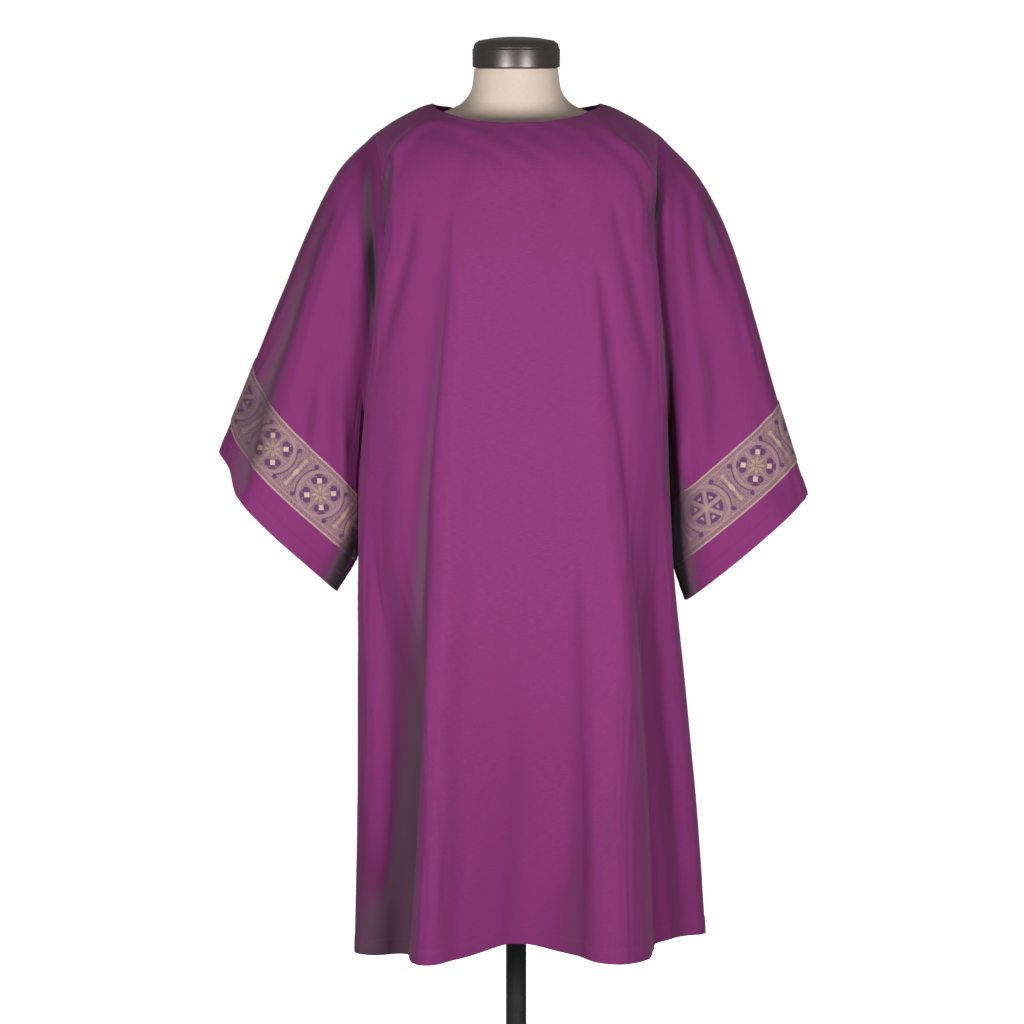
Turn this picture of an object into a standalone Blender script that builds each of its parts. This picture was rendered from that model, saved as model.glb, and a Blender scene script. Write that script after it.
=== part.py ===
"""A dalmatic hanging on a limbless dress form. Metres, +Z up, the front faces -Y.

The wearer's right is at -X. Every piece of cloth is a wall worked out from section tables, and
meets its neighbours at mitred seams.
"""

import math

import bmesh
import bpy
import numpy as np
from mathutils import Matrix, Vector

# ---- cloth ----------------------------------------------------------------------------------
CLOTH = 0.0020
SEAM_GAP = 0.0003
SEAM_SHARE = 0.6
MITRE_LIMIT = 0.45
BAND_CLOTH = 0.0014
BAND_WIDTH = 0.082
CUFF_STRIP = 0.048

# ---- neck and shoulders ---------------------------------------------------------------------
NECK_HALF_WIDTH = 0.1145
NECK_FRONT_DEPTH = 0.100
NECK_BACK_DEPTH = 0.074
NECK_SQUARENESS = 2.5
SHOULDER_ROLL = 0.100
# distance from the centre, height of the shoulder line
SHOULDER_LINE = (
    (0.000, 1.478),
    (0.060, 1.4765),
    (0.1145, 1.470),
    (0.158, 1.451),
    (0.190, 1.430),
)

# ---- body of the garment --------------------------------------------------------------------
UNDERARM_HEIGHT = 1.055
HEM_HEIGHT = 0.329
FRONT_HEM_LIFT = 0.0195
FRONT_LIFT_SPREAD = 0.17
LEFT_HEM_LIFT = 0.020
LEFT_LIFT_START = 0.45
RIGHT_HEM_DROP = 0.006
RIGHT_DROP_START = 0.40
SIDE_HEM_SPREAD = 0.35
SLIT_HEIGHT = 0.520
SLIT_OPENING = 0.030
SLIT_SPREAD_POWER = 1.5
SLIT_EDGE_POWER = 6
SECTION_POWER = 0.91
ARMHOLE_EDGE_DEPTH = 0.074
ARMHOLE_ROUND = 0.250
ARMHOLE_FADE = 0.100
EDGE_POWER = 10
# height, right half width, left half width, front depth, back depth, wrap in degrees
BODY_SECTIONS = (
    (1.430, 0.190, 0.190, 0.138, 0.122, 90.0),
    (1.380, 0.177, 0.185, 0.144, 0.134, 104.0),
    (1.305, 0.173, 0.183, 0.150, 0.142, 112.0),
    (1.240, 0.184, 0.188, 0.153, 0.147, 114.0),
    (1.135, 0.193, 0.197, 0.155, 0.150, 118.0),
    (1.055, 0.203, 0.202, 0.155, 0.151, 120.0),
    (0.950, 0.211, 0.206, 0.154, 0.151, 120.0),
    (0.860, 0.212, 0.211, 0.154, 0.152, 117.0),
    (0.760, 0.213, 0.220, 0.155, 0.153, 105.0),
    (0.640, 0.214, 0.232, 0.157, 0.156, 94.0),
    (0.500, 0.215, 0.244, 0.161, 0.160, 90.0),
    (0.329, 0.218, 0.253, 0.166, 0.165, 90.0),
)
# across at its top, across at the hem, height of its top, half width across, rise, spread
FRONT_FLUTES = (
    (-0.300, -0.285, 1.250, 0.130, 0.034, 0.012),
    (0.020, 0.020, 1.000, 0.200, -0.044, 0.000),
    (0.320, 0.305, 1.250, 0.140, 0.032, 0.014),
    (-0.520, -0.560, 1.250, 0.120, -0.028, 0.000),
    (0.540, 0.600, 1.200, 0.120, -0.042, 0.000),
    (-0.850, -0.860, 0.800, 0.090, 0.007, 0.000),
    (0.860, 0.880, 0.800, 0.090, 0.012, 0.000),
)
BACK_FLUTES = (
    (-0.360, -0.400, 1.200, 0.150, 0.028, 0.010),
    (-0.080, -0.100, 1.100, 0.140, -0.024, 0.000),
    (0.160, 0.180, 1.200, 0.140, 0.024, 0.010),
    (0.420, 0.450, 1.150, 0.130, -0.026, 0.000),
    (0.660, 0.700, 1.000, 0.120, 0.018, 0.006),
    (-0.660, -0.700, 1.000, 0.120, -0.024, 0.000),
)

# ---- sleeves ----------------------------------------------------------------------------------
SLEEVE_SQUARENESS = 0.80
SLEEVE_SAMPLES = 81
SLEEVE_SET_IN = 0.40
SLEEVE_PINCH = 0.70
SLEEVE_PINCH_END = 0.80
# along the sleeve, over-arm x and z, under-arm x and z, half depth
RIGHT_SLEEVE = (
    (0.00, -0.190, 1.430, -0.180, 1.055, 0.070),
    (0.15, -0.238, 1.380, -0.208, 1.036, 0.067),
    (0.30, -0.273, 1.315, -0.2085, 0.990, 0.064),
    (0.55, -0.320, 1.203, -0.2095, 0.915, 0.060),
    (0.80, -0.362, 1.096, -0.217, 0.858, 0.058),
    (1.00, -0.397, 1.005, -0.243, 0.812, 0.058),
)
LEFT_SLEEVE = (
    (0.00, 0.190, 1.430, 0.184, 1.055, 0.070),
    (0.15, 0.243, 1.374, 0.210, 1.036, 0.067),
    (0.30, 0.281, 1.305, 0.2105, 0.985, 0.064),
    (0.55, 0.322, 1.180, 0.211, 0.905, 0.060),
    (0.80, 0.357, 1.058, 0.215, 0.850, 0.058),
    (1.00, 0.393, 0.946, 0.230, 0.800, 0.058),
)
# the largest value of sin(turn) * (1 + cos(turn)), which shares out the drop of a cuff's front
DROP_PEAK = 1.3
RIGHT_CUFF_DROP = 0.022
# the right cuff's edge is drawn up most at this turn from the over-arm, and not past the last
RIGHT_CUFF_TUCK = 0.016
TUCK_TURN = 0.74
TUCK_END = 1.05
LEFT_CUFF_DROP = 0.004

# ---- dress form, cap and stand ----------------------------------------------------------------
FORM_SQUARENESS = 0.92
ROUND_NECK_ABOVE = 1.44
# height, half width, front depth, back depth
FORM_SECTIONS = (
    (0.735, 0.143, 0.098, 0.103),
    (0.745, 0.152, 0.105, 0.110),
    (0.820, 0.159, 0.110, 0.117),
    (0.920, 0.157, 0.110, 0.117),
    (1.060, 0.137, 0.098, 0.095),
    (1.180, 0.142, 0.109, 0.098),
    (1.290, 0.152, 0.118, 0.106),
    (1.360, 0.161, 0.108, 0.103),
    (1.405, 0.166, 0.088, 0.089),
    (1.432, 0.152, 0.068, 0.072),
    (1.448, 0.128, 0.058, 0.062),
    (1.459, 0.098, 0.056, 0.058),
    (1.471, 0.073, 0.055, 0.057),
    (1.490, 0.060, 0.055, 0.056),
    (1.5175, 0.056, 0.056, 0.056),
)
# radius, height
CAP_PROFILE = (
    (0.0570, 1.5180),
    (0.0590, 1.5195),
    (0.0590, 1.5430),
    (0.0578, 1.5440),
    (0.0578, 1.5462),
    (0.0560, 1.5510),
    (0.0500, 1.5550),
    (0.0300, 1.5585),
)
CAP_TOP = 1.5600
CAP_TOP_RADIUS = 0.010
POLE_RADIUS = 0.0140
POLE_BOTTOM = 0.0220
POLE_BORE = POLE_RADIUS + SEAM_GAP
BASE_RADIUS = 0.175
HUB_RADIUS = 0.030
# radius, height
BASE_PROFILE = (
    (BASE_RADIUS - 0.004, 0.0000),
    (BASE_RADIUS, 0.0040),
    (BASE_RADIUS, 0.0130),
    (BASE_RADIUS - 0.004, 0.0170),
    (HUB_RADIUS + 0.004, 0.0215),
    (HUB_RADIUS, 0.0250),
    (HUB_RADIUS, 0.0560),
    (HUB_RADIUS - 0.003, 0.0590),
    (POLE_BORE, 0.0590),
    (POLE_BORE, 0.0215),
)

# ---- how finely the faces are divided -----------------------------------------------------------
ARMHOLE_ROWS = 12
SEAM_ROWS = 7
SLIT_ROWS = 4
NECK_COLUMNS = 14
SHOULDER_COLUMNS = 7
SLEEVE_ROWS = 7
BAND_ROWS = 3
STRIP_ROWS = 2
FORM_SEGMENTS = 36
ROUND_SEGMENTS = 40
POLE_SEGMENTS = 24
NECK_SEARCH_STEPS = 400
SHARP_ANGLE = math.radians(50)
KEYS_PER_METRE = 1e5

COLOURS = {
    "violet_cloth": ((0.27, 0.045, 0.205), 0.85, 0.0),
    "band_brocade": ((0.43, 0.28, 0.17), 0.6, 0.2),
    "form_linen": ((0.82, 0.68, 0.52), 0.9, 0.0),
    "cap_metal": ((0.17, 0.15, 0.15), 0.35, 1.0),
    "stand_paint": ((0.02, 0.02, 0.022), 0.45, 0.0),
}


def smooth_table(rows):
    """A function that reads a table by its first column, with smooth curves through the others.

    The curves never swing past their rows: a column that turns is level there.
    """
    table = np.array(sorted(rows))
    knots, values = table[:, 0], table[:, 1:]
    slopes = np.diff(values, axis=0) / np.diff(knots)[:, None]
    before, after = slopes[:-1], slopes[1:]
    same_way = before * after > 0
    inner = np.where(same_way, 2 * before * after / np.where(same_way, before + after, 1), 0)
    tangents = np.vstack([slopes[:1], inner, slopes[-1:]])

    def read(at):
        at = np.clip(at, knots[0], knots[-1])
        i = np.clip(np.searchsorted(knots, at, side="right") - 1, 0, len(knots) - 2)
        span = (knots[i + 1] - knots[i])[..., None]
        t = (at - knots[i])[..., None] / span
        return (
            values[i] * (1 + 2 * t) * (1 - t) ** 2
            + values[i + 1] * (3 - 2 * t) * t**2
            + tangents[i] * span * t * (1 - t) ** 2
            - tangents[i + 1] * span * t**2 * (1 - t)
        )

    return read


def ease(t):
    """0 to 1 with a soft start and end."""
    t = np.clip(t, 0.0, 1.0)
    return t * t * (3 - 2 * t)


shoulder_line = smooth_table(SHOULDER_LINE)
body_section = smooth_table(BODY_SECTIONS)


def signed_power(value, power):
    return np.sign(value) * np.abs(value) ** power


def across_section(u, height, facing):
    """x, depth and the section's own sizes a share u of the way from the centre to the edge.

    The section passes its widest place and turns in again before its edge, where it wraps
    further than 90 degrees.
    """
    right, left, front, back, wrap = np.moveaxis(body_section(height), -1, 0)
    above = height - UNDERARM_HEIGHT
    armhole = ARMHOLE_EDGE_DEPTH * np.sqrt(np.clip(above / ARMHOLE_ROUND, 0, 1))
    edge = ARMHOLE_EDGE_DEPTH * ease((above + ARMHOLE_FADE) / (ARMHOLE_ROUND + ARMHOLE_FADE))
    half = np.where(u < 0, right, left)
    deepest = front if facing < 0 else back
    angle = np.radians(wrap)
    beyond = np.abs(np.cos(angle)) ** SECTION_POWER * (wrap > 90.0)
    widest = (edge + deepest * beyond) / (1 + beyond)
    x = half * signed_power(np.sin(u * angle), SECTION_POWER)
    depth = widest + (deepest - widest) * signed_power(np.cos(u * angle), SECTION_POWER)
    depth += (armhole - edge) * np.abs(u) ** EDGE_POWER
    return x, depth, half, deepest


def flute_offset(flutes, u, height):
    """How far the flutes push the cloth outwards and sideways."""
    rise = np.zeros_like(height)
    spread = np.zeros_like(height)
    for top_u, hem_u, top, width, flute_rise, flute_spread in flutes:
        grown = ease((top - height) / (top - HEM_HEIGHT))
        away = (u - (top_u + (hem_u - top_u) * grown)) / width
        shape = np.exp(-(away**2)) * grown * (1 - np.abs(u) ** EDGE_POWER)
        rise += flute_rise * shape
        spread += flute_spread * away * shape
    return rise, spread


def neck_depth(x, deepest):
    inside = np.clip(1 - np.abs(x / NECK_HALF_WIDTH) ** NECK_SQUARENESS, 0, 1)
    return deepest * inside ** (1 / NECK_SQUARENESS)


def panel(facing):
    """The middle surface of the front (facing -1) or the back (facing +1), rows from top to hem."""
    u = panel_columns()[None, :]
    tip = np.full_like(u, SHOULDER_LINE[-1][1])
    top_x, deep, _, _ = across_section(u, tip, facing)
    top = shoulder_line(np.abs(top_x))[..., 0]
    neck = neck_depth(top_x, NECK_FRONT_DEPTH if facing < 0 else NECK_BACK_DEPTH)
    start = top - SHOULDER_ROLL * (1 - np.sqrt(1 - np.clip(neck / deep, 0, 1) ** 2))

    turn = np.linspace(0, np.pi, ARMHOLE_ROWS + 1)[:, None]
    upper = start - (1 - np.cos(turn)) / 2 * (start - UNDERARM_HEIGHT)
    seam = np.linspace(UNDERARM_HEIGHT, SLIT_HEIGHT, SEAM_ROWS + 1)[1:, None] + 0 * u
    down = np.linspace(0, 1, SLIT_ROWS + 1)[1:, None]
    lower = SLIT_HEIGHT + (hem_line(u, facing) - SLIT_HEIGHT) * down
    height = np.vstack([upper, seam, lower])

    wide = np.broadcast_to(u, height.shape)
    x, depth, half, deepest = across_section(wide, height, facing)
    rolled = np.clip((top - height) / SHOULDER_ROLL, 0, 1)
    y = facing * depth * np.sqrt(1 - (1 - rolled) ** 2)
    rise, spread = flute_offset(FRONT_FLUTES if facing < 0 else BACK_FLUTES, wide, height)
    out = np.stack([x / half**2, y / deepest**2], axis=-1)
    out /= np.linalg.norm(out, axis=-1, keepdims=True)
    x = x + out[..., 0] * rise - facing * out[..., 1] * spread
    y = y + out[..., 1] * rise + facing * out[..., 0] * spread
    slit = np.clip((SLIT_HEIGHT - height) / (SLIT_HEIGHT - HEM_HEIGHT), 0, 1) ** SLIT_SPREAD_POWER
    y = y + facing * SLIT_OPENING / 2 * slit * np.abs(wide) ** SLIT_EDGE_POWER
    grid = np.stack([x, y, height], axis=-1)
    return grid if facing < 0 else grid[:, ::-1]


def panel_columns():
    """Shares across a panel, with one on each neck point."""
    span = np.linspace(0, 1, NECK_SEARCH_STEPS)
    tip = np.full_like(span, SHOULDER_LINE[-1][1])
    neck = float(np.interp(NECK_HALF_WIDTH, across_section(span, tip, -1)[0], span))
    middle = np.linspace(-neck, neck, NECK_COLUMNS + 1)
    outer = np.linspace(neck, 1, SHOULDER_COLUMNS + 1)[1:]
    return np.concatenate([-outer[::-1], middle, outer])


def hem_line(u, facing):
    lift = FRONT_HEM_LIFT * np.exp(-((u / FRONT_LIFT_SPREAD) ** 2)) if facing < 0 else 0.0
    lift = lift + LEFT_HEM_LIFT * ease((u - LEFT_LIFT_START) / SIDE_HEM_SPREAD)
    return HEM_HEIGHT + lift - RIGHT_HEM_DROP * ease((-u - RIGHT_DROP_START) / SIDE_HEM_SPREAD)


def sleeve(front, back, side):
    """The middle surface of a sleeve, rows from the armhole to the cuff.

    Its rows lie at set distances from the cuff, measured down the cloth, so that the band
    and the strip below it keep their widths all round.
    """
    near, far = (0, -1) if side < 0 else (-1, 0)
    fore = front[: ARMHOLE_ROWS + 1, near]
    aft = back[: ARMHOLE_ROWS + 1, far]
    armhole = np.vstack([fore, aft[-2:0:-1]])
    read = smooth_table(RIGHT_SLEEVE if side < 0 else LEFT_SLEEVE)
    drop = RIGHT_CUFF_DROP if side < 0 else LEFT_CUFF_DROP
    turn = np.linspace(0, 2 * np.pi, len(armhole), endpoint=False)
    set_in = armhole - sleeve_ring(0.0, read, turn, drop)
    along = np.linspace(0, 1, SLEEVE_SAMPLES)
    fade = 1 - ease(along / SLEEVE_SET_IN)
    lines = np.stack([sleeve_ring(s, read, turn, drop) + set_in * f for s, f in zip(along, fade)])
    travelled = np.cumsum(np.linalg.norm(np.diff(lines, axis=0), axis=-1), axis=0)
    travelled = np.vstack([np.zeros(len(armhole)), travelled])
    length = travelled[-1]
    band_top = length - CUFF_STRIP - BAND_WIDTH
    upper = np.linspace(0, 1, SLEEVE_ROWS + 1)[:-1, None] * band_top
    band = band_top + np.linspace(0, BAND_WIDTH, BAND_ROWS + 1)[:, None]
    tuck = ease(turn / TUCK_TURN) * (1 - ease((turn - TUCK_TURN) / (TUCK_END - TUCK_TURN)))
    strip_width = CUFF_STRIP - (RIGHT_CUFF_TUCK * tuck if side < 0 else 0 * tuck)
    strip = length - CUFF_STRIP + np.linspace(0, 1, STRIP_ROWS + 1)[1:, None] * strip_width
    wanted = np.vstack([upper, band, strip])
    grid = np.empty((len(wanted), len(armhole), 3))
    for j in range(len(armhole)):
        for axis in range(3):
            grid[:, j, axis] = np.interp(wanted[:, j], travelled[:, j], lines[:, j, axis])
    return grid if side < 0 else grid[:, ::-1]


def sleeve_ring(s, read, turn, drop):
    """One ring of the sleeve, from the over-arm fold round the front to the back."""
    over_x, over_z, under_x, under_z, depth = read(np.array(s))
    over, under = np.array([over_x, over_z]), np.array([under_x, under_z])
    middle, half = (over + under) / 2, (over - under) / 2
    down = np.array([half[1], -half[0]]) / np.linalg.norm(half)
    down = down if down[1] < 0 else -down
    round_front = np.sin(turn)
    low = drop * s**2 * round_front * (1 + np.cos(turn)) / DROP_PEAK
    xz = middle + np.cos(turn)[:, None] * half + low[:, None] * down
    pinch = SLEEVE_PINCH * (1 - np.cos(turn)) / 2 * (1 - ease(s / SLEEVE_PINCH_END))
    y = -depth * signed_power(round_front, SLEEVE_SQUARENESS) * (1 - pinch)
    return np.column_stack([xz[:, 0], y, xz[:, 1]])


def grid_normals(grid, wrapped):
    """Outward normals of a grid's points, each the sum of its faces' own."""
    closed = np.concatenate([grid, grid[:, :1]], axis=1) if wrapped else grid
    one = closed[1:, 1:] - closed[:-1, :-1]
    two = closed[1:, :-1] - closed[:-1, 1:]
    face = np.cross(two, one)
    total = np.zeros_like(closed)
    for rows, columns in ((slice(0, -1), slice(0, -1)), (slice(1, None), slice(0, -1)),
                          (slice(0, -1), slice(1, None)), (slice(1, None), slice(1, None))):
        total[rows, columns] += face
    if wrapped:
        total[:, 0] += total[:, -1]
        total = total[:, :-1]
    return total / np.linalg.norm(total, axis=-1, keepdims=True)


def joint_normals(grids):
    """Each grid's normals, made common to the pieces where their points meet, so seams mitre."""
    own = {name: grid_normals(grid, wrapped) for name, (grid, wrapped) in grids.items()}
    shared = {}
    for name, (grid, _) in grids.items():
        seen = set()
        for key, normal in zip(point_keys(grid), own[name].reshape(-1, 3)):
            if key not in seen:
                shared.setdefault(key, []).append(normal)
                seen.add(key)
    result = {}
    for name, (grid, _) in grids.items():
        mitre = own[name].reshape(-1, 3).copy()
        joined = np.zeros(len(mitre), bool)
        for i, key in enumerate(point_keys(grid)):
            if len(shared[key]) > 1:
                mean = np.sum(shared[key], axis=0)
                mean /= np.linalg.norm(mean)
                mitre[i] = mean / max(MITRE_LIMIT, np.mean([mean @ each for each in shared[key]]))
                joined[i] = True
        result[name] = (mitre.reshape(grid.shape), joined.reshape(grid.shape[:2]))
    return result


def point_keys(grid):
    return [tuple(key) for key in np.round(grid.reshape(-1, 3) * KEYS_PER_METRE).astype(int)]


def drawn_back(grid, normals, joined, distance):
    """The grid with its joined border points moved a little way into the piece.

    They move further where the seam's mitre is long, which is where two pieces meet in a crease.
    """
    moved = grid.copy()
    for border, inner in (((0, slice(None)), (1, slice(None))), ((slice(None), 0), (slice(None), 1)),
                          ((slice(None), -1), (slice(None), -2))):
        step = grid[inner] - grid[border]
        step /= np.linalg.norm(step, axis=-1, keepdims=True)
        slant = np.sum(normals[border] ** 2, axis=-1)
        moved[border] += step * (distance * slant * joined[border])[..., None]
    return moved


def cloth_wall(name, grid, normals, inside, outside, wrapped, material):
    """A closed wall on a grid of points, from inside to outside along the normals."""
    rows, columns = grid.shape[:2]
    mesh = bmesh.new()
    skins = []
    for offset in (outside, inside):
        points = (grid + normals * offset).reshape(-1, 3)
        skins.append([mesh.verts.new(point) for point in points])
    outer, inner = skins
    flat = grid.reshape(-1, 3)

    def corner(i, j):
        return i * columns + j % columns

    last = columns if wrapped else columns - 1
    for i in range(rows - 1):
        for j in range(last):
            a, b = corner(i, j), corner(i, j + 1)
            c, d = corner(i + 1, j + 1), corner(i + 1, j)
            if np.linalg.norm(flat[a] - flat[c]) <= np.linalg.norm(flat[b] - flat[d]):
                halves = ((a, c, b), (a, d, c))
            else:
                halves = ((a, d, b), (b, d, c))
            for half in halves:
                mesh.faces.new([outer[k] for k in half])
                mesh.faces.new([inner[k] for k in reversed(half)])
    rims = [(corner(0, j), corner(0, j + 1)) for j in range(last)]
    rims += [(corner(rows - 1, j + 1), corner(rows - 1, j)) for j in range(last)]
    if not wrapped:
        rims += [(corner(i + 1, 0), corner(i, 0)) for i in range(rows - 1)]
        rims += [(corner(i, last), corner(i + 1, last)) for i in range(rows - 1)]
    for a, b in rims:
        # neighbours split the faces of their shared seam along the same diagonal
        if tuple(flat[a]) > tuple(flat[b]):
            mesh.faces.new((outer[a], outer[b], inner[b]))
            mesh.faces.new((outer[a], inner[b], inner[a]))
        else:
            mesh.faces.new((outer[a], outer[b], inner[a]))
            mesh.faces.new((outer[b], inner[b], inner[a]))
    return finish(name, mesh, material)


def ring_solid(name, rings, material):
    """A closed solid through rings of equal count, from the bottom ring up."""
    mesh = bmesh.new()
    loops = [[mesh.verts.new(point) for point in ring] for ring in rings]
    count = len(loops[0])
    for low, high in zip(loops, loops[1:]):
        for j in range(count):
            k = (j + 1) % count
            mesh.faces.new((low[j], low[k], high[k], high[j]))
    mesh.faces.new(loops[0][::-1])
    mesh.faces.new(loops[-1])
    return finish(name, mesh, material)


def circle(radius, height, segments=ROUND_SEGMENTS):
    turn = np.linspace(0, 2 * np.pi, segments, endpoint=False)
    return np.column_stack([radius * np.cos(turn), radius * np.sin(turn), np.full(segments, height)])


def finish(name, mesh, material):
    data = bpy.data.meshes.new(name)
    mesh.normal_update()
    mesh.to_mesh(data)
    mesh.free()
    made = bpy.data.objects.new(name, data)
    bpy.context.scene.collection.objects.link(made)
    data.materials.append(material)
    data.shade_smooth()
    data.set_sharp_from_angle(angle=SHARP_ANGLE)
    return made


def make_materials():
    made = {}
    for name, (colour, roughness, metallic) in COLOURS.items():
        material = bpy.data.materials.new(name)
        material.use_nodes = True
        shader = material.node_tree.nodes["Principled BSDF"]
        shader.inputs["Base Color"].default_value = (*colour, 1.0)
        shader.inputs["Roughness"].default_value = roughness
        shader.inputs["Metallic"].default_value = metallic
        made[name] = material
    return made


def make_cloth(materials):
    front, back = panel(-1), panel(1)
    sleeves = {"right": sleeve(front, back, -1), "left": sleeve(front, back, 1)}
    grids = {"front": (front, False), "back": (back, False)}
    grids.update({f"sleeve_{side}": (grid, True) for side, grid in sleeves.items()})
    mitres = joint_normals(grids)
    for name, (grid, wrapped) in grids.items():
        normals, joined = mitres[name]
        joined = joined & ~wrapped_interior(grid, wrapped)
        wall = drawn_back(grid, normals, joined, SEAM_GAP * SEAM_SHARE)
        cloth_wall(name, wall, normals, -CLOTH / 2, CLOTH / 2, wrapped, materials["violet_cloth"])
    rows = slice(SLEEVE_ROWS, SLEEVE_ROWS + BAND_ROWS + 1)
    for side, grid in sleeves.items():
        normals = mitres[f"sleeve_{side}"][0]
        under = CLOTH / 2 + SEAM_GAP
        cloth_wall(f"band_{side}", grid[rows], normals[rows], under, under + BAND_CLOTH, True,
                   materials["band_brocade"])


def wrapped_interior(grid, wrapped):
    """True at the points of a wrapped grid that aren't on its first row."""
    held = np.zeros(grid.shape[:2], bool)
    if wrapped:
        held[1:] = True
    return held


def make_form(materials):
    turn = np.linspace(0, 2 * np.pi, FORM_SEGMENTS, endpoint=False)
    rings = []
    for height, half, front, back in FORM_SECTIONS:
        bend = FORM_SQUARENESS if height < ROUND_NECK_ABOVE else 1.0
        across = signed_power(np.cos(turn), bend)
        deep = signed_power(np.sin(turn), bend)
        y = deep * np.where(deep < 0, front, back)
        rings.append(np.column_stack([half * across, y, np.full(FORM_SEGMENTS, height)]))
    ring_solid("form_body", rings, materials["form_linen"])


def make_cap(materials):
    rings = [circle(radius, height) for radius, height in CAP_PROFILE]
    rings.append(circle(CAP_TOP_RADIUS, CAP_TOP))
    ring_solid("neck_cap", rings, materials["cap_metal"])


def make_stand(materials):
    top = FORM_SECTIONS[0][0] - SEAM_GAP
    rings = [circle(POLE_RADIUS, height, POLE_SEGMENTS) for height in (POLE_BOTTOM, top)]
    ring_solid("pole", rings, materials["stand_paint"])
    rings = [circle(radius, height) for radius, height in BASE_PROFILE]
    ring_solid("base", rings, materials["stand_paint"])


def centre_on_floor():
    """Moves the whole part so that its box stands centred on the origin."""
    made = bpy.context.scene.objects
    points = np.array([vertex.co for each in made for vertex in each.data.vertices])
    low, high = points.min(axis=0), points.max(axis=0)
    shift = Vector((-(low[0] + high[0]) / 2, -(low[1] + high[1]) / 2, -low[2]))
    for each in made:
        each.data.transform(Matrix.Translation(shift))


def main():
    for old in list(bpy.data.objects):
        bpy.data.objects.remove(old, do_unlink=True)
    materials = make_materials()
    make_cloth(materials)
    make_form(materials)
    make_cap(materials)
    make_stand(materials)
    centre_on_floor()


main()
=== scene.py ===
"""Looks of the dalmatic on its dress form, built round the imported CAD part.

Metres, +Z up, the garment's front faces -Y and the wearer's right is at -X.
"""

import math

import bpy
import numpy as np
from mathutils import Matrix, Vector


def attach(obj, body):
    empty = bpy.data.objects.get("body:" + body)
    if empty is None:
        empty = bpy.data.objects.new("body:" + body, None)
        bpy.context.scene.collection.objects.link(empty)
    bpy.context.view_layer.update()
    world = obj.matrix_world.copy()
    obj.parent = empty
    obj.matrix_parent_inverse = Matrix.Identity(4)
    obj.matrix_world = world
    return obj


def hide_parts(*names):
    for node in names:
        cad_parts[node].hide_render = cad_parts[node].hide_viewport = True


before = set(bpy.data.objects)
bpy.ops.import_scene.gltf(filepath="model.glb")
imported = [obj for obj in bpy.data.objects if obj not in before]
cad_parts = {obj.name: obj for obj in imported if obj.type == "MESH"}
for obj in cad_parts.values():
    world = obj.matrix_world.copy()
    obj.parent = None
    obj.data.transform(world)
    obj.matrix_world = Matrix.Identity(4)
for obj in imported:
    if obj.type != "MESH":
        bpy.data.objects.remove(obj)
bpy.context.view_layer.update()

# ---- the garment's form, as the CAD part has it -------------------------------------------------
# the form's axis in the part's own frame
PART_SHIFT = np.array([0.0032, -0.0018, 0.0])
NECK_HALF_WIDTH = 0.1145
NECK_FRONT_DEPTH = 0.100
NECK_BACK_DEPTH = 0.074
NECK_SQUARENESS = 2.5
SHOULDER_ROLL = 0.100
# distance from the middle, height of the cloth
SHOULDER_LINE = (
    (0.000, 1.478),
    (0.060, 1.4765),
    (0.1145, 1.470),
    (0.158, 1.451),
    (0.190, 1.430),
)
UNDERARM_HEIGHT = 1.055
HEM_HEIGHT = 0.329
FRONT_HEM_LIFT = 0.0195
FRONT_LIFT_SPREAD = 0.17
LEFT_HEM_LIFT = 0.020
LEFT_LIFT_START = 0.45
RIGHT_HEM_DROP = 0.006
RIGHT_DROP_START = 0.40
SIDE_HEM_SPREAD = 0.35
SLIT_HEIGHT = 0.520
SLIT_OPENING = 0.030
SLIT_GROWTH = 1.5
SLIT_POWER = 6
SECTION_POWER = 0.91
ARMHOLE_EDGE_DEPTH = 0.074
ARMHOLE_ROUND = 0.250
ARMHOLE_FADE = 0.100
EDGE_POWER = 10
# height, half width to the wearer's right and left, depth of the front and the back, and how far
# each wraps round from its middle, in degrees
BODY_SECTIONS = (
    (1.430, 0.190, 0.190, 0.138, 0.122, 90.0),
    (1.380, 0.177, 0.185, 0.144, 0.134, 104.0),
    (1.305, 0.173, 0.183, 0.150, 0.142, 112.0),
    (1.240, 0.184, 0.188, 0.153, 0.147, 114.0),
    (1.135, 0.193, 0.197, 0.155, 0.150, 118.0),
    (1.055, 0.203, 0.202, 0.155, 0.151, 120.0),
    (0.950, 0.211, 0.206, 0.154, 0.151, 120.0),
    (0.860, 0.212, 0.211, 0.154, 0.152, 117.0),
    (0.760, 0.213, 0.220, 0.155, 0.153, 105.0),
    (0.640, 0.214, 0.232, 0.157, 0.156, 94.0),
    (0.500, 0.215, 0.244, 0.161, 0.160, 90.0),
    (0.329, 0.218, 0.253, 0.166, 0.165, 90.0),
)
# place across (-1 to 1) at the top and at the hem, height of the top, width, rise and spread
FRONT_FLUTES = (
    (-0.300, -0.285, 1.250, 0.130, 0.034, 0.012),
    (0.020, 0.020, 1.000, 0.200, -0.044, 0.000),
    (0.320, 0.305, 1.250, 0.140, 0.032, 0.014),
    (-0.520, -0.560, 1.250, 0.120, -0.028, 0.000),
    (0.540, 0.600, 1.200, 0.120, -0.042, 0.000),
    (-0.850, -0.860, 0.800, 0.090, 0.007, 0.000),
    (0.860, 0.880, 0.800, 0.090, 0.012, 0.000),
)
BACK_FLUTES = (
    (-0.360, -0.400, 1.200, 0.150, 0.028, 0.010),
    (-0.080, -0.100, 1.100, 0.140, -0.024, 0.000),
    (0.160, 0.180, 1.200, 0.140, 0.024, 0.010),
    (0.420, 0.450, 1.150, 0.130, -0.026, 0.000),
    (0.660, 0.700, 1.000, 0.120, 0.018, 0.006),
    (-0.660, -0.700, 1.000, 0.120, -0.024, 0.000),
)
SLEEVE_SQUARENESS = 0.80
SLEEVE_SAMPLES = 161
SLEEVE_SET_IN = 0.40
SLEEVE_PINCH = 0.70
SLEEVE_PINCH_END = 0.80
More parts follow.
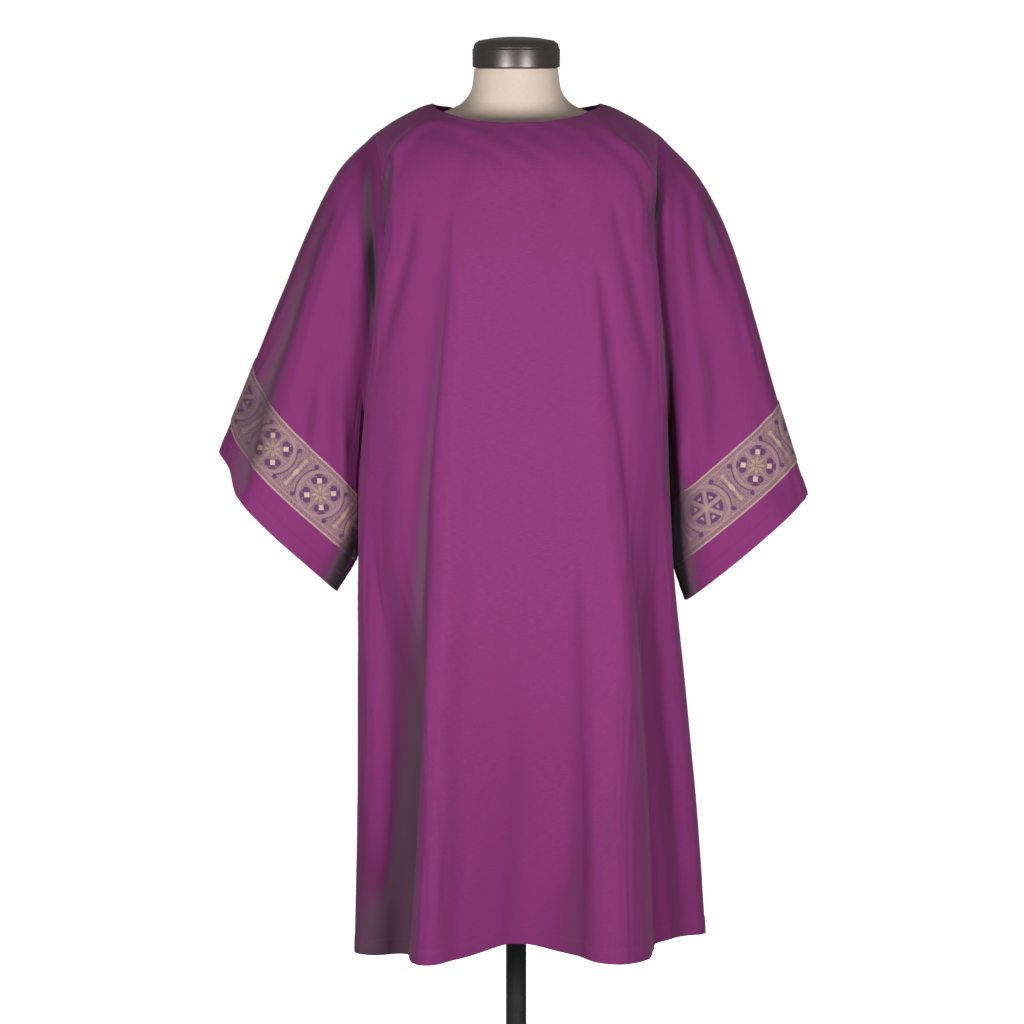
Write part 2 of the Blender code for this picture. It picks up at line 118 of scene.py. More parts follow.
# share of the way down, x and height of the over-arm and of the under-arm, half the depth
RIGHT_SLEEVE = (
    (0.00, -0.190, 1.430, -0.180, 1.055, 0.070),
    (0.15, -0.238, 1.380, -0.208, 1.036, 0.067),
    (0.30, -0.273, 1.315, -0.2085, 0.990, 0.064),
    (0.55, -0.320, 1.203, -0.2095, 0.915, 0.060),
    (0.80, -0.362, 1.096, -0.217, 0.858, 0.058),
    (1.00, -0.397, 1.005, -0.243, 0.812, 0.058),
)
LEFT_SLEEVE = (
    (0.00, 0.190, 1.430, 0.184, 1.055, 0.070),
    (0.15, 0.243, 1.374, 0.2085, 1.036, 0.067),
    (0.30, 0.281, 1.305, 0.2075, 0.985, 0.064),
    (0.55, 0.322, 1.180, 0.2078, 0.905, 0.060),
    (0.80, 0.357, 1.058, 0.2132, 0.850, 0.058),
    (1.00, 0.393, 0.946, 0.230, 0.800, 0.058),
)
RIGHT_CUFF_DROP = 0.022
# the right cuff's edge is drawn up most at this turn from the over-arm, and not past the last
RIGHT_CUFF_TUCK = 0.016
TUCK_TURN = 0.74
TUCK_END = 1.05
LEFT_CUFF_DROP = 0.004
# greatest value of sin(turn) * (1 + cos(turn)), about
CUFF_DROP_PEAK = 1.3
BAND_WIDTH = 0.082
CUFF_STRIP = 0.048
FORM_SQUARENESS = 0.92
# the neck of the form is round from here up, and goes over to it this softly
FORM_ROUND_HEIGHT = 1.43
FORM_ROUND_FADE = 0.02
# height, half width, depth in front and behind
FORM_SECTIONS = (
    (0.735, 0.143, 0.098, 0.103),
    (0.745, 0.152, 0.105, 0.110),
    (0.820, 0.159, 0.110, 0.117),
    (0.920, 0.157, 0.110, 0.117),
    (1.060, 0.137, 0.098, 0.095),
    (1.180, 0.142, 0.109, 0.098),
    (1.290, 0.152, 0.118, 0.106),
    (1.360, 0.161, 0.108, 0.103),
    (1.405, 0.166, 0.088, 0.089),
    (1.432, 0.152, 0.068, 0.072),
    (1.448, 0.128, 0.058, 0.062),
    (1.459, 0.098, 0.056, 0.058),
    (1.471, 0.073, 0.055, 0.057),
    (1.490, 0.060, 0.055, 0.056),
    (1.5175, 0.056, 0.056, 0.056),
)
# radius, height
CAP_PROFILE = (
    (0.0570, 1.5180),
    (0.0590, 1.5195),
    (0.0590, 1.5430),
    (0.0578, 1.5440),
    (0.0578, 1.5462),
    (0.0560, 1.5510),
    (0.0500, 1.5550),
    (0.0300, 1.5585),
)
CAP_TOP = 1.5600
CAP_TOP_RADIUS = 0.010
CAP_ROUND = 0.0012
POLE_RADIUS = 0.0140
POLE_BOTTOM = 0.0220
POLE_GAP = 0.0003
BASE_ROUND = 0.0025
# radius, height
BASE_PROFILE = (
    (0.1710, 0.0000),
    (0.1750, 0.0040),
    (0.1750, 0.0130),
    (0.1710, 0.0170),
    (0.0340, 0.0215),
    (0.0300, 0.0250),
    (0.0300, 0.0560),
    (0.0270, 0.0590),
    (0.0143, 0.0590),
    (0.0143, 0.0215),
)

# ---- studio -------------------------------------------------------------------------------------
FLOOR_RADIUS = 30.0
FLOOR_POINTS = 96
WALL_HEIGHT = 14.0
FLOOR_GLOW = 0.92
WALL_GLOW = 0.9
# strength of the even light from all round
FILL = 0.21
CAMERA_PLACE = (0.0032, -7.0, 1.6)
CAMERA_AIM = (-0.0025, 0.0, 0.9185)
CAMERA_LENS = 182.5
CAMERA_SENSOR = 36
CAMERA_REACH = 200
# name, place, width and height, watts
LIGHTS = (
    ("key_right", (-0.82, -1.62, 1.02), (0.42, 0.7), 17.2),
    ("key_left", (0.82, -1.62, 1.02), (0.42, 0.7), 16.4),
    ("behind", (0.0, 2.6, 1.25), (1.1, 1.1), 30.0),
)

# ---- the cloth as it is sewn --------------------------------------------------------------------
CLOTH = 0.0014
BAND_CLOTH = 0.0011
BAND_GAP = 0.0002
HEM_TURN = 0.024
HEM_EXTRA = 0.0008
NECK_TURN = 0.009
SLIT_TURN = 0.012
TURN_EDGE = 0.003
STITCH_INSET = 0.002
SEAM_DIP = 0.0007
SEAM_REACH = 0.0035

# the neck's edge is turned in over this share of its half width
NECK_EDGE_SHARE = 0.995

# ---- creases are held back near the seams: how near, from the under-arm and the shoulder --------
UNDERARM_CLEAR = 0.01
UNDERARM_FADE = 0.08
CROWN_FADE = 0.05
SHOULDER_FADE = 0.03
# the shoulder seam begins at this share of the neck's half width
NECK_SHARE = 0.98
# share of a sleeve, from the armhole down, over which its creases begin
SLEEVE_FADE = 0.045

# ---- how finely the pieces are divided ----------------------------------------------------------
ARMHOLE_ROWS = 96
SEAM_ROWS = 96
SLIT_ROWS = 40
NECK_COLUMNS = 104
SHOULDER_COLUMNS = 48
SLEEVE_ROWS = 96
BAND_ROWS = 24
STRIP_ROWS = 14
# share of the armhole's rows that are even round its turn, the rest being even down it
TURN_SHARE = 0.55
FORM_POINTS = 144
FORM_RINGS = 180
CAP_POINTS = 128
POLE_POINTS = 96
BASE_POINTS = 160
# points at which a section is read to find the neck's corner on it
SECTION_POINTS = 400
# steps round a profile's corner, whose sides are at least this many times what it takes of them
ROUND_STEPS = 5
ROUND_SIDES = 2.2
# degrees between faces from which an edge is sharp
SHELL_SHARP = 60
SOLID_SHARP = 35
QUAD = 4
TINY = 1e-12
QUARTER_TURN = 90.0

PANEL_SEED = 11
SLEEVE_SEED = 21


def smooth_table(rows):
    """A function that reads a table by its first column, with smooth curves through the others."""
    table = np.array(sorted(rows))
    knots, values = table[:, 0], table[:, 1:]
    slopes = np.diff(values, axis=0) / np.diff(knots)[:, None]
    before, after = slopes[:-1], slopes[1:]
    same_way = before * after > 0
    inner = np.where(same_way, 2 * before * after / np.where(same_way, before + after, 1), 0)
    tangents = np.vstack([slopes[:1], inner, slopes[-1:]])

    def read(at):
        at = np.clip(at, knots[0], knots[-1])
        i = np.clip(np.searchsorted(knots, at, side="right") - 1, 0, len(knots) - 2)
        span = (knots[i + 1] - knots[i])[..., None]
        t = (at - knots[i])[..., None] / span
        return (
            values[i] * (1 + 2 * t) * (1 - t) ** 2
            + values[i + 1] * (3 - 2 * t) * t**2
            + tangents[i] * span * t * (1 - t) ** 2
            - tangents[i + 1] * span * t**2 * (1 - t)
        )

    return read


def ease(t):
    """0 to 1 with a soft start and end."""
    t = np.clip(t, 0.0, 1.0)
    return t * t * (3 - 2 * t)


shoulder_line = smooth_table(SHOULDER_LINE)
body_section = smooth_table(BODY_SECTIONS)


def signed_power(value, power):
    return np.sign(value) * np.abs(value) ** power


def travelled(grid, axis):
    """Distance along the grid's lines, from its first row or column."""
    steps = np.linalg.norm(np.diff(grid, axis=axis), axis=-1).cumsum(axis=axis)
    start = np.zeros_like(np.take(steps, [0], axis=axis))
    return np.concatenate([start, steps], axis=axis)


def closing(values):
    """A wrapped grid's values with its first column again at the end."""
    return np.concatenate([values, values[:, :1]], axis=1)


def across_section(u, height, facing):
    """x and depth at u (-1 to 1 across a panel), with the half width and the panel's depth."""
    right, left, front, back, wrap = np.moveaxis(body_section(height), -1, 0)
    above = height - UNDERARM_HEIGHT
    armhole = ARMHOLE_EDGE_DEPTH * np.sqrt(np.clip(above / ARMHOLE_ROUND, 0, 1))
    edge = ARMHOLE_EDGE_DEPTH * ease((above + ARMHOLE_FADE) / (ARMHOLE_ROUND + ARMHOLE_FADE))
    half = np.where(u < 0, right, left)
    deepest = front if facing < 0 else back
    angle = np.radians(wrap)
    beyond = np.abs(np.cos(angle)) ** SECTION_POWER * (wrap > QUARTER_TURN)
    widest = (edge + deepest * beyond) / (1 + beyond)
    x = half * signed_power(np.sin(u * angle), SECTION_POWER)
    depth = widest + (deepest - widest) * signed_power(np.cos(u * angle), SECTION_POWER)
    depth += (armhole - edge) * np.abs(u) ** EDGE_POWER
    return x, depth, half, deepest


def flute_offset(flutes, u, height):
    """How far the hanging flutes move the cloth outwards and sideways."""
    rise = np.zeros_like(height)
    spread = np.zeros_like(height)
    for top_u, hem_u, top, width, flute_rise, flute_spread in flutes:
        grown = ease((top - height) / (top - HEM_HEIGHT))
        away = (u - (top_u + (hem_u - top_u) * grown)) / width
        shape = np.exp(-(away**2)) * grown * (1 - np.abs(u) ** EDGE_POWER)
        rise += flute_rise * shape
        spread += flute_spread * away * shape
    return rise, spread


def neck_depth(x, deepest):
    """How far the neck opening reaches from the shoulder line at x."""
    inside = np.clip(1 - np.abs(x / NECK_HALF_WIDTH) ** NECK_SQUARENESS, 0, 1)
    return deepest * inside ** (1 / NECK_SQUARENESS)


def armhole_turn():
    """Where the rows of the armhole lie round its half ring, from the shoulder to the under-arm."""
    t = np.linspace(0, 1, ARMHOLE_ROWS + 1)
    share = TURN_SHARE * (1 - np.cos(np.pi * t)) / 2 + (1 - TURN_SHARE) * t
    return np.arccos(np.clip(1 - 2 * share, -1, 1))


def panel(facing, creases):
    """The middle surface of the front (facing -1) or the back (facing +1), rows from top to hem."""
    u = panel_columns()[None, :]
    tip = np.full_like(u, SHOULDER_LINE[-1][1])
    top_x, deep, _, _ = across_section(u, tip, facing)
    top = shoulder_line(np.abs(top_x))[..., 0]
    neck = neck_depth(top_x, NECK_FRONT_DEPTH if facing < 0 else NECK_BACK_DEPTH)
    start = top - SHOULDER_ROLL * (1 - np.sqrt(1 - np.clip(neck / deep, 0, 1) ** 2))

    turn = armhole_turn()[:, None]
    upper = start - (1 - np.cos(turn)) / 2 * (start - UNDERARM_HEIGHT)
    seam = np.linspace(UNDERARM_HEIGHT, SLIT_HEIGHT, SEAM_ROWS + 1)[1:, None] + 0 * u
    down = np.linspace(0, 1, SLIT_ROWS + 1)[1:, None]
    lower = SLIT_HEIGHT + (hem_line(u, facing) - SLIT_HEIGHT) * down
    height = np.vstack([upper, seam, lower])

    wide = np.broadcast_to(u, height.shape)
    x, depth, half, deepest = across_section(wide, height, facing)
    rolled = np.clip((top - height) / SHOULDER_ROLL, 0, 1)
    y = facing * depth * np.sqrt(1 - (1 - rolled) ** 2)
    rise, spread = flute_offset(FRONT_FLUTES if facing < 0 else BACK_FLUTES, wide, height)
    out = np.stack([x / half**2, y / deepest**2], axis=-1)
    out /= np.linalg.norm(out, axis=-1, keepdims=True)
    x = x + out[..., 0] * rise - facing * out[..., 1] * spread
    y = y + out[..., 1] * rise + facing * out[..., 0] * spread
    slit = np.clip((SLIT_HEIGHT - height) / (SLIT_HEIGHT - HEM_HEIGHT), 0, 1) ** SLIT_GROWTH
    y = y + facing * SLIT_OPENING / 2 * slit * np.abs(wide) ** SLIT_POWER
    grid = np.stack([x, y, height], axis=-1)
    if facing > 0:
        grid, wide = grid[:, ::-1], wide[:, ::-1]
    high = grid[..., 2]
    crown = (top if facing < 0 else top[:, ::-1]) - high
    in_armhole = ease((high - UNDERARM_HEIGHT - UNDERARM_CLEAR) / UNDERARM_FADE)
    in_armhole = in_armhole * ease(crown / CROWN_FADE)
    on_shoulder = np.abs(grid[..., 0]) > NECK_HALF_WIDTH * NECK_SHARE
    held = 1 - np.abs(wide) ** EDGE_POWER * (1 - in_armhole)
    held = held * (1 - (1 - ease(crown / SHOULDER_FADE)) * on_shoulder)
    return creased(grid, creases, held, False, PANEL_SEED + facing)


def panel_columns():
    """Places of a panel's columns, -1 to 1, with one at each corner of the neck."""
    span = np.linspace(0, 1, SECTION_POINTS)
    tip = np.full_like(span, SHOULDER_LINE[-1][1])
    neck = float(np.interp(NECK_HALF_WIDTH, across_section(span, tip, -1)[0], span))
    middle = np.linspace(-neck, neck, NECK_COLUMNS + 1)
    outer = np.linspace(neck, 1, SHOULDER_COLUMNS + 1)[1:]
    return np.concatenate([-outer[::-1], middle, outer])


def hem_line(u, facing):
    """Height of the hem at u."""
    lift = FRONT_HEM_LIFT * np.exp(-((u / FRONT_LIFT_SPREAD) ** 2)) if facing < 0 else 0.0
    left = LEFT_HEM_LIFT * ease((u - LEFT_LIFT_START) / SIDE_HEM_SPREAD)
    right = RIGHT_HEM_DROP * ease((-u - RIGHT_DROP_START) / SIDE_HEM_SPREAD)
    return HEM_HEIGHT + lift + left - right


def sleeve(front, back, side, creases):
    """The middle surface of a sleeve, rows from the armhole to the cuff."""
    near, far = (0, -1) if side < 0 else (-1, 0)
    fore = front[: ARMHOLE_ROWS + 1, near]
    aft = back[: ARMHOLE_ROWS + 1, far]
    armhole = np.vstack([fore, aft[-2:0:-1]])
    read = smooth_table(RIGHT_SLEEVE if side < 0 else LEFT_SLEEVE)
    drop = RIGHT_CUFF_DROP if side < 0 else LEFT_CUFF_DROP
    half_turn = armhole_turn()
    turn = np.concatenate([half_turn, 2 * np.pi - half_turn[-2:0:-1]])
    set_in = armhole - sleeve_ring(0.0, read, turn, drop)
    along = np.linspace(0, 1, SLEEVE_SAMPLES)
    fade = 1 - ease(along / SLEEVE_SET_IN)
    lines = np.stack([sleeve_ring(s, read, turn, drop) + set_in * f for s, f in zip(along, fade)])
    run = travelled(lines, 0)
    length = run[-1]
    band_top = length - CUFF_STRIP - BAND_WIDTH
    upper = np.linspace(0, 1, SLEEVE_ROWS + 1)[:-1, None] * band_top
    band = band_top + np.linspace(0, BAND_WIDTH, BAND_ROWS + 1)[:, None]
    tuck = ease(turn / TUCK_TURN) * (1 - ease((turn - TUCK_TURN) / (TUCK_END - TUCK_TURN)))
    strip_width = CUFF_STRIP - (RIGHT_CUFF_TUCK * tuck if side < 0 else 0 * tuck)
    strip = length - CUFF_STRIP + np.linspace(0, 1, STRIP_ROWS + 1)[1:, None] * strip_width
    wanted = np.vstack([upper, band, strip])
    grid = np.empty((len(wanted), len(armhole), 3))
    for j in range(len(armhole)):
        for axis in range(3):
            grid[:, j, axis] = np.interp(wanted[:, j], run[:, j], lines[:, j, axis])
    down = np.linspace(0, 1, len(grid))[:, None] + 0 * grid[..., 0]
    grid = grid if side < 0 else grid[:, ::-1]
    return creased(grid, creases, ease(down / SLEEVE_FADE), True, SLEEVE_SEED + side)


def sleeve_ring(s, read, turn, drop):
    """Points round a sleeve at the share s of the way down, by their turn from the over-arm."""
    over_x, over_z, under_x, under_z, depth = read(np.array(s))
    over, under = np.array([over_x, over_z]), np.array([under_x, under_z])
    middle, half = (over + under) / 2, (over - under) / 2
    down = np.array([half[1], -half[0]]) / np.linalg.norm(half)
    down = down if down[1] < 0 else -down
    round_front = np.sin(turn)
    low = drop * s**2 * round_front * (1 + np.cos(turn)) / CUFF_DROP_PEAK
    xz = middle + np.cos(turn)[:, None] * half + low[:, None] * down
    pinch = SLEEVE_PINCH * (1 - np.cos(turn)) / 2 * (1 - ease(s / SLEEVE_PINCH_END))
    y = -depth * signed_power(round_front, SLEEVE_SQUARENESS) * (1 - pinch)
    return np.column_stack([xz[:, 0], y, xz[:, 1]])


# ---- creases, with the shade painted in them ----------------------------------------------------
# facing (-1 seen from the front, 1 from the back), then rows in millimetres of
# height, x, reach towards -X, reach towards +X, depth outwards and the shade painted inside (1 is
# a full crease's painted shade, 2 is painted black); a depth or a shade that is left out is 0
FRONT_CREASES = (
    # the long valley on the wearer's right, and the flute's edge beside it
    (-1, ((1340, -85, 10.2, 3), (1309, -89, 14.4, 4.2, -3), (1234, -93, 18.5, 5.4, -4),
        (1175, -98, 20.4, 5.9, -5), (1082, -107, 22.2, 6.5, -6), (1016, -114, 26.9, 7.8, -8),
        (949, -120, 31.5, 9.2, -10.5), (869, -124, 33.3, 9.7, -13), (762, -131, 33.3, 9.7, -14),
        (654, -137, 34.3, 10, -15), (547, -144, 35.2, 10.3, -16), (466, -150, 37, 10.8, -17),
        (365, -158, 40.7, 11.9, -18), (297, -163, 40.7, 11.9, -18))),
    (-1, ((1307, -72, 6.9, 11.7), (1175, -77, 8.5, 14.3, 3), (1016, -85, 9.2, 15.6, 4),
        (869, -93, 10, 16.9, 5), (654, -99, 10.8, 18.2, 4), (510, -112, 11.5, 19.5, 5),
        (365, -123, 12.3, 20.8, 7), (297, -131, 12.3, 20.8, 7))),
    # painted shade along that valley, widening below
    (-1, ((1326, -86, 10.9, 6.8), (1287, -93, 13.6, 9.5, 0, 0.14), (1234, -98, 17.7, 10.9, 0, 0.3),
        (1175, -103, 20.4, 10.9, 0, 0.36), (1082, -113, 20.4, 12.2, 0, 0.4),
        (989, -124, 17.7, 16.3, 0, 0.44), (922, -130, 17.7, 21.8, 0, 0.56),
        (869, -133, 19, 24.5, 0, 0.66), (816, -136, 20.4, 24.5, 0, 0.74),
        (762, -138, 20.4, 21.8, 0, 0.8), (709, -140, 19, 19, 0, 0.78),
        (655, -141, 17.7, 17.7, 0, 0.76), (547, -146, 20.4, 12.2, 0, 0.84),
        (466, -152, 23.1, 17.7, 0, 0.84), (412, -161, 27.2, 21.8, 0, 0.76),
        (365, -169, 35.4, 29.9, 0, 0.8), (297, -174, 38.1, 32.6, 0, 0.8))),
    # painted shade on the wearer's right flank, where it turns away below
    (-1, ((855, -214, 19, 10.9), (760, -213, 19, 9.5, 0, 0.15), (637, -213, 21.8, 13.6, 0, 0.25),
        (527, -214, 21.8, 19, 0, 0.4), (445, -212, 27.2, 27.2, 0, 0.52),
        (390, -210, 32.6, 35.4, 0, 0.6), (335, -207, 35.4, 40.8, 0, 0.66),
        (273, -207, 35.4, 40.8, 0, 0.66))),
    # soft folds from the arms
    (-1, ((1345, -133, 6, 6), (1299, -139, 9, 9, -4, 0.1), (1238, -154, 10, 10, -6, 0.2),
        (1187, -169, 10, 10, -6, 0.2), (1142, -179, 10, 10, -3, 0.1), (1080, -189, 12, 12))),
    (-1, ((1352, 128, 6, 6), (1312, 135, 9, 9, -4), (1233, 153, 10, 10, -6, 0.2),
        (1172, 168, 11, 11, -6, 0.2), (1127, 180, 11, 11, -4, 0.15), (1074, 188, 11, 11, 0, 0.05),
        (1014, 194, 10, 10))),
    # the fold on the wearer's left that grows into the lower valley, and the edge beside it
    (-1, ((1274, 107, 4, 9), (1228, 113, 6, 13.5, -4), (1143, 123, 7.3, 16.5, -6, 0.1),
        (1067, 135, 8, 18, -6, 0.05), (976, 148, 8.7, 19.5, -6), (869, 160, 9.3, 21, -7),
        (789, 170, 9.3, 21, -8), (735, 177, 9.3, 21, -9), (655, 186, 10, 22.5, -10),
        (582, 196, 10.7, 24, -11), (510, 205, 11.3, 25.5, -12), (377, 216, 12, 27, -12),
        (297, 220, 12, 27, -12))),
    (-1, ((1254, 100, 11.2, 7.2), (1143, 107, 15, 9.6, 3), (1067, 111, 15, 9.6, 3),
        (922, 119, 15, 9.6, 3), (816, 136, 17.5, 11.2, 4), (682, 151, 18.1, 11.6, 6.5),
        (582, 161, 18.7, 12, 8.5), (466, 169, 18.7, 12, 9), (297, 176, 18.7, 12, 9))),
    # painted shade in the lower valley on the wearer's left, and on the flank beside it
    (-1, ((1108, 125, 12.2, 12.2), (1029, 135, 15, 12.2, 0, 0.15), (962, 147, 16.3, 13.6, 0, 0.26),
        (869, 160, 15, 12.2, 0, 0.18), (776, 172, 15, 16.3, 0, 0.14), (695, 181, 16.3, 19, 0, 0.06),
        (628, 185, 16.3, 19))),
    (-1, ((789, 175, 16.3, 16.3), (695, 189, 13.6, 27.2, 0, 0.04), (628, 197, 16.3, 32.6, 0, 0.1),
        (547, 206, 19, 38.1, 0, 0.19), (467, 215, 20.4, 43.5, 0, 0.24),
        (412, 221, 21.8, 54.4, 0, 0.3), (358, 227, 24.5, 57.1, 0, 0.32),
        (297, 230, 24.5, 57.1, 0, 0.32))),
    # a painted dark line along the panel's edge under the left arm
    (-1, ((1089, 201, 5.4, 4.1), (1035, 202, 6.8, 4.1, 0, 0.8), (969, 202, 6.8, 4.1, 0, 0.9),
        (922, 205, 5.4, 4.1))),
    # the shoulder fold on the wearer's left and the hollow under it
    (-1, ((1453, 111, 8, 8), (1427, 131, 10, 10, 5), (1402, 158, 10, 10, 8), (1378, 172, 9, 9, 9),
        (1354, 178, 8, 8, 8), (1325, 184, 7, 7, 3), (1292, 186, 6, 6))),
    (-1, ((1416, 145, 6, 6), (1387, 161, 9, 9, -5, 0.3), (1358, 173, 9, 9, -7, 0.6),
        (1328, 181, 8, 8, -6, 0.5), (1295, 182, 7, 7, -4, 0.2), (1259, 184, 6, 6))),
    # the shoulder fold on the wearer's right, a narrow slit beside its lip, its darkness painted
    (-1, ((1408, -160, 3, 3), (1387, -166, 4.5, 4.5, -6, 0.9), (1358, -172, 4.5, 4.5, -8, 1.1),
        (1328, -175, 4.5, 4.5, -6, 0.9), (1294, -177, 4, 4))),
    (-1, ((1450, -106, 8, 8), (1440, -128, 10, 10, 5), (1423, -146, 10, 10, 7),
        (1404, -160, 8, 8, 8), (1381, -168, 7, 7, 7), (1344, -176, 6, 6, 4), (1305, -178, 6, 6))),
    # shorter folds that start below the waist
    (-1, ((896, 82, 10, 4.9), (762, 83, 15.7, 7.7, -4), (655, 82, 18.6, 9.1, -6),
        (546, 84, 20, 9.8, -7, 0.05), (473, 85, 21.4, 10.5, -7, 0.1),
        (402, 84, 22.9, 11.2, -7, 0.1), (297, 81, 22.9, 11.2, -7, 0.1))),
    (-1, ((762, 103, 8.3, 12), (601, 105, 10, 14.4, 3), (466, 108, 10.8, 15.6, 4),
        (297, 111, 10.8, 15.6, 4))),
    (-1, ((789, -73, 10, 10), (636, -72, 15, 15, -1), (547, -75, 16, 16, -1),
        (438, -82, 17, 17, -4), (297, -89, 17, 17, -3))),
    (-1, ((682, 5, 12, 12), (547, -2, 18, 18, -3), (412, -6, 20, 20, -4), (297, -7, 20, 20, -4))),
    # painted shade low on the front
    (-1, ((520, 72, 19, 10.9), (453, 69, 21.8, 10.9, 0, 0.16), (406, 67, 24.5, 12.2, 0, 0.3),
        (358, 61, 27.2, 16.3, 0, 0.34), (297, 59, 27.2, 16.3, 0, 0.34))),
    (-1, ((480, -70, 16.3, 16.3), (412, -70, 20.4, 20.4, 0, 0.14), (358, -70, 24.5, 24.5, 0, 0.2),
        (297, -70, 24.5, 24.5, 0, 0.2))),
    # faint painted shade at each side of the chest
    (-1, ((1432, -119, 54.4, 68), (1386, -116, 54.4, 74.8, 0, 0.09),
        (1333, -114, 49, 74.8, 0, 0.08), (1274, -111, 40.8, 68))),
    (-1, ((1432, 118, 54.4, 40.8), (1386, 123, 62.6, 35.4, 0, 0.07),
        (1333, 129, 62.6, 32.6, 0, 0.07), (1274, 132, 54.4, 27.2))),
    (-1, ((1451, 42, 12, 12), (1373, 52, 16, 16, -2.5), (1267, 58, 16, 16, -3),
        (1112, 54, 16, 16, -3), (1016, 49, 16, 16))),
    (-1, ((1454, -61, 12, 12), (1392, -71, 14, 14, -4, 0.05), (1340, -85, 12, 12, -2),
        (1300, -90, 10, 10))),
)

BACK_CREASES = (
    # down the back, with shade painted in the creases
    (1, ((1330, 95, 6, 11.8), (1250, 100, 8.6, 16.8, -5.7, 0.27),
        (1120, 106, 11.1, 21.8, -8.5, 0.35), (900, 112, 12.9, 25.2, -11.4, 0.45),
        (650, 118, 15.4, 30.2, -12.8, 0.4), (300, 130, 18, 35.3, -15.7, 0.43))),
    (1, ((1310, 80, 14.4, 8.1), (1150, 84, 19.2, 10.8, 4.3), (850, 88, 22.4, 12.6, 5.7),
        (300, 100, 25.6, 14.4, 7.1))),
    (1, ((1280, -70, 11.1, 4.7), (1180, -78, 18.5, 7.8, -5.7, 0.27),
        (1000, -88, 24, 10.1, -8.5, 0.35), (760, -100, 29.5, 12.5, -11.4, 0.4),
        (520, -112, 33.2, 14, -14.2, 0.45), (300, -120, 36.9, 15.6, -15.7, 0.45))),
    (1, ((1000, -5, 12, 12), (860, -10, 16.8, 16.8, -4.3, 0.03), (640, -14, 21.6, 21.6, -7.1, 0.11),
        (300, -18, 24, 24, -8.5, 0.14))),
    (1, ((760, 45, 12, 12), (600, 49, 15.6, 15.6, -4.3, 0.05), (420, 54, 18, 18, -5.7, 0.09),
        (300, 56, 18, 18, -2.9))),
    (1, ((1380, -140, 7.2, 7.2), (1330, -150, 9.6, 9.6, -7.1, 0.45),
        (1260, -162, 10.8, 10.8, -8.5, 0.45), (1180, -172, 10.8, 10.8, -5.7, 0.33),
        (1090, -180, 10.8, 10.8))),
    (1, ((1360, 135, 7.2, 7.2), (1290, 150, 9.6, 9.6, -5.7, 0.4),
        (1200, 164, 10.8, 10.8, -7.1, 0.45), (1110, 176, 10.8, 10.8))),
    (1, ((900, -160, 12, 12), (740, -166, 15.6, 15.6, -7.1, 0.25),
        (520, -174, 19.2, 19.2, -11.4, 0.4), (300, -182, 21.6, 21.6, -12.8, 0.4))),
)

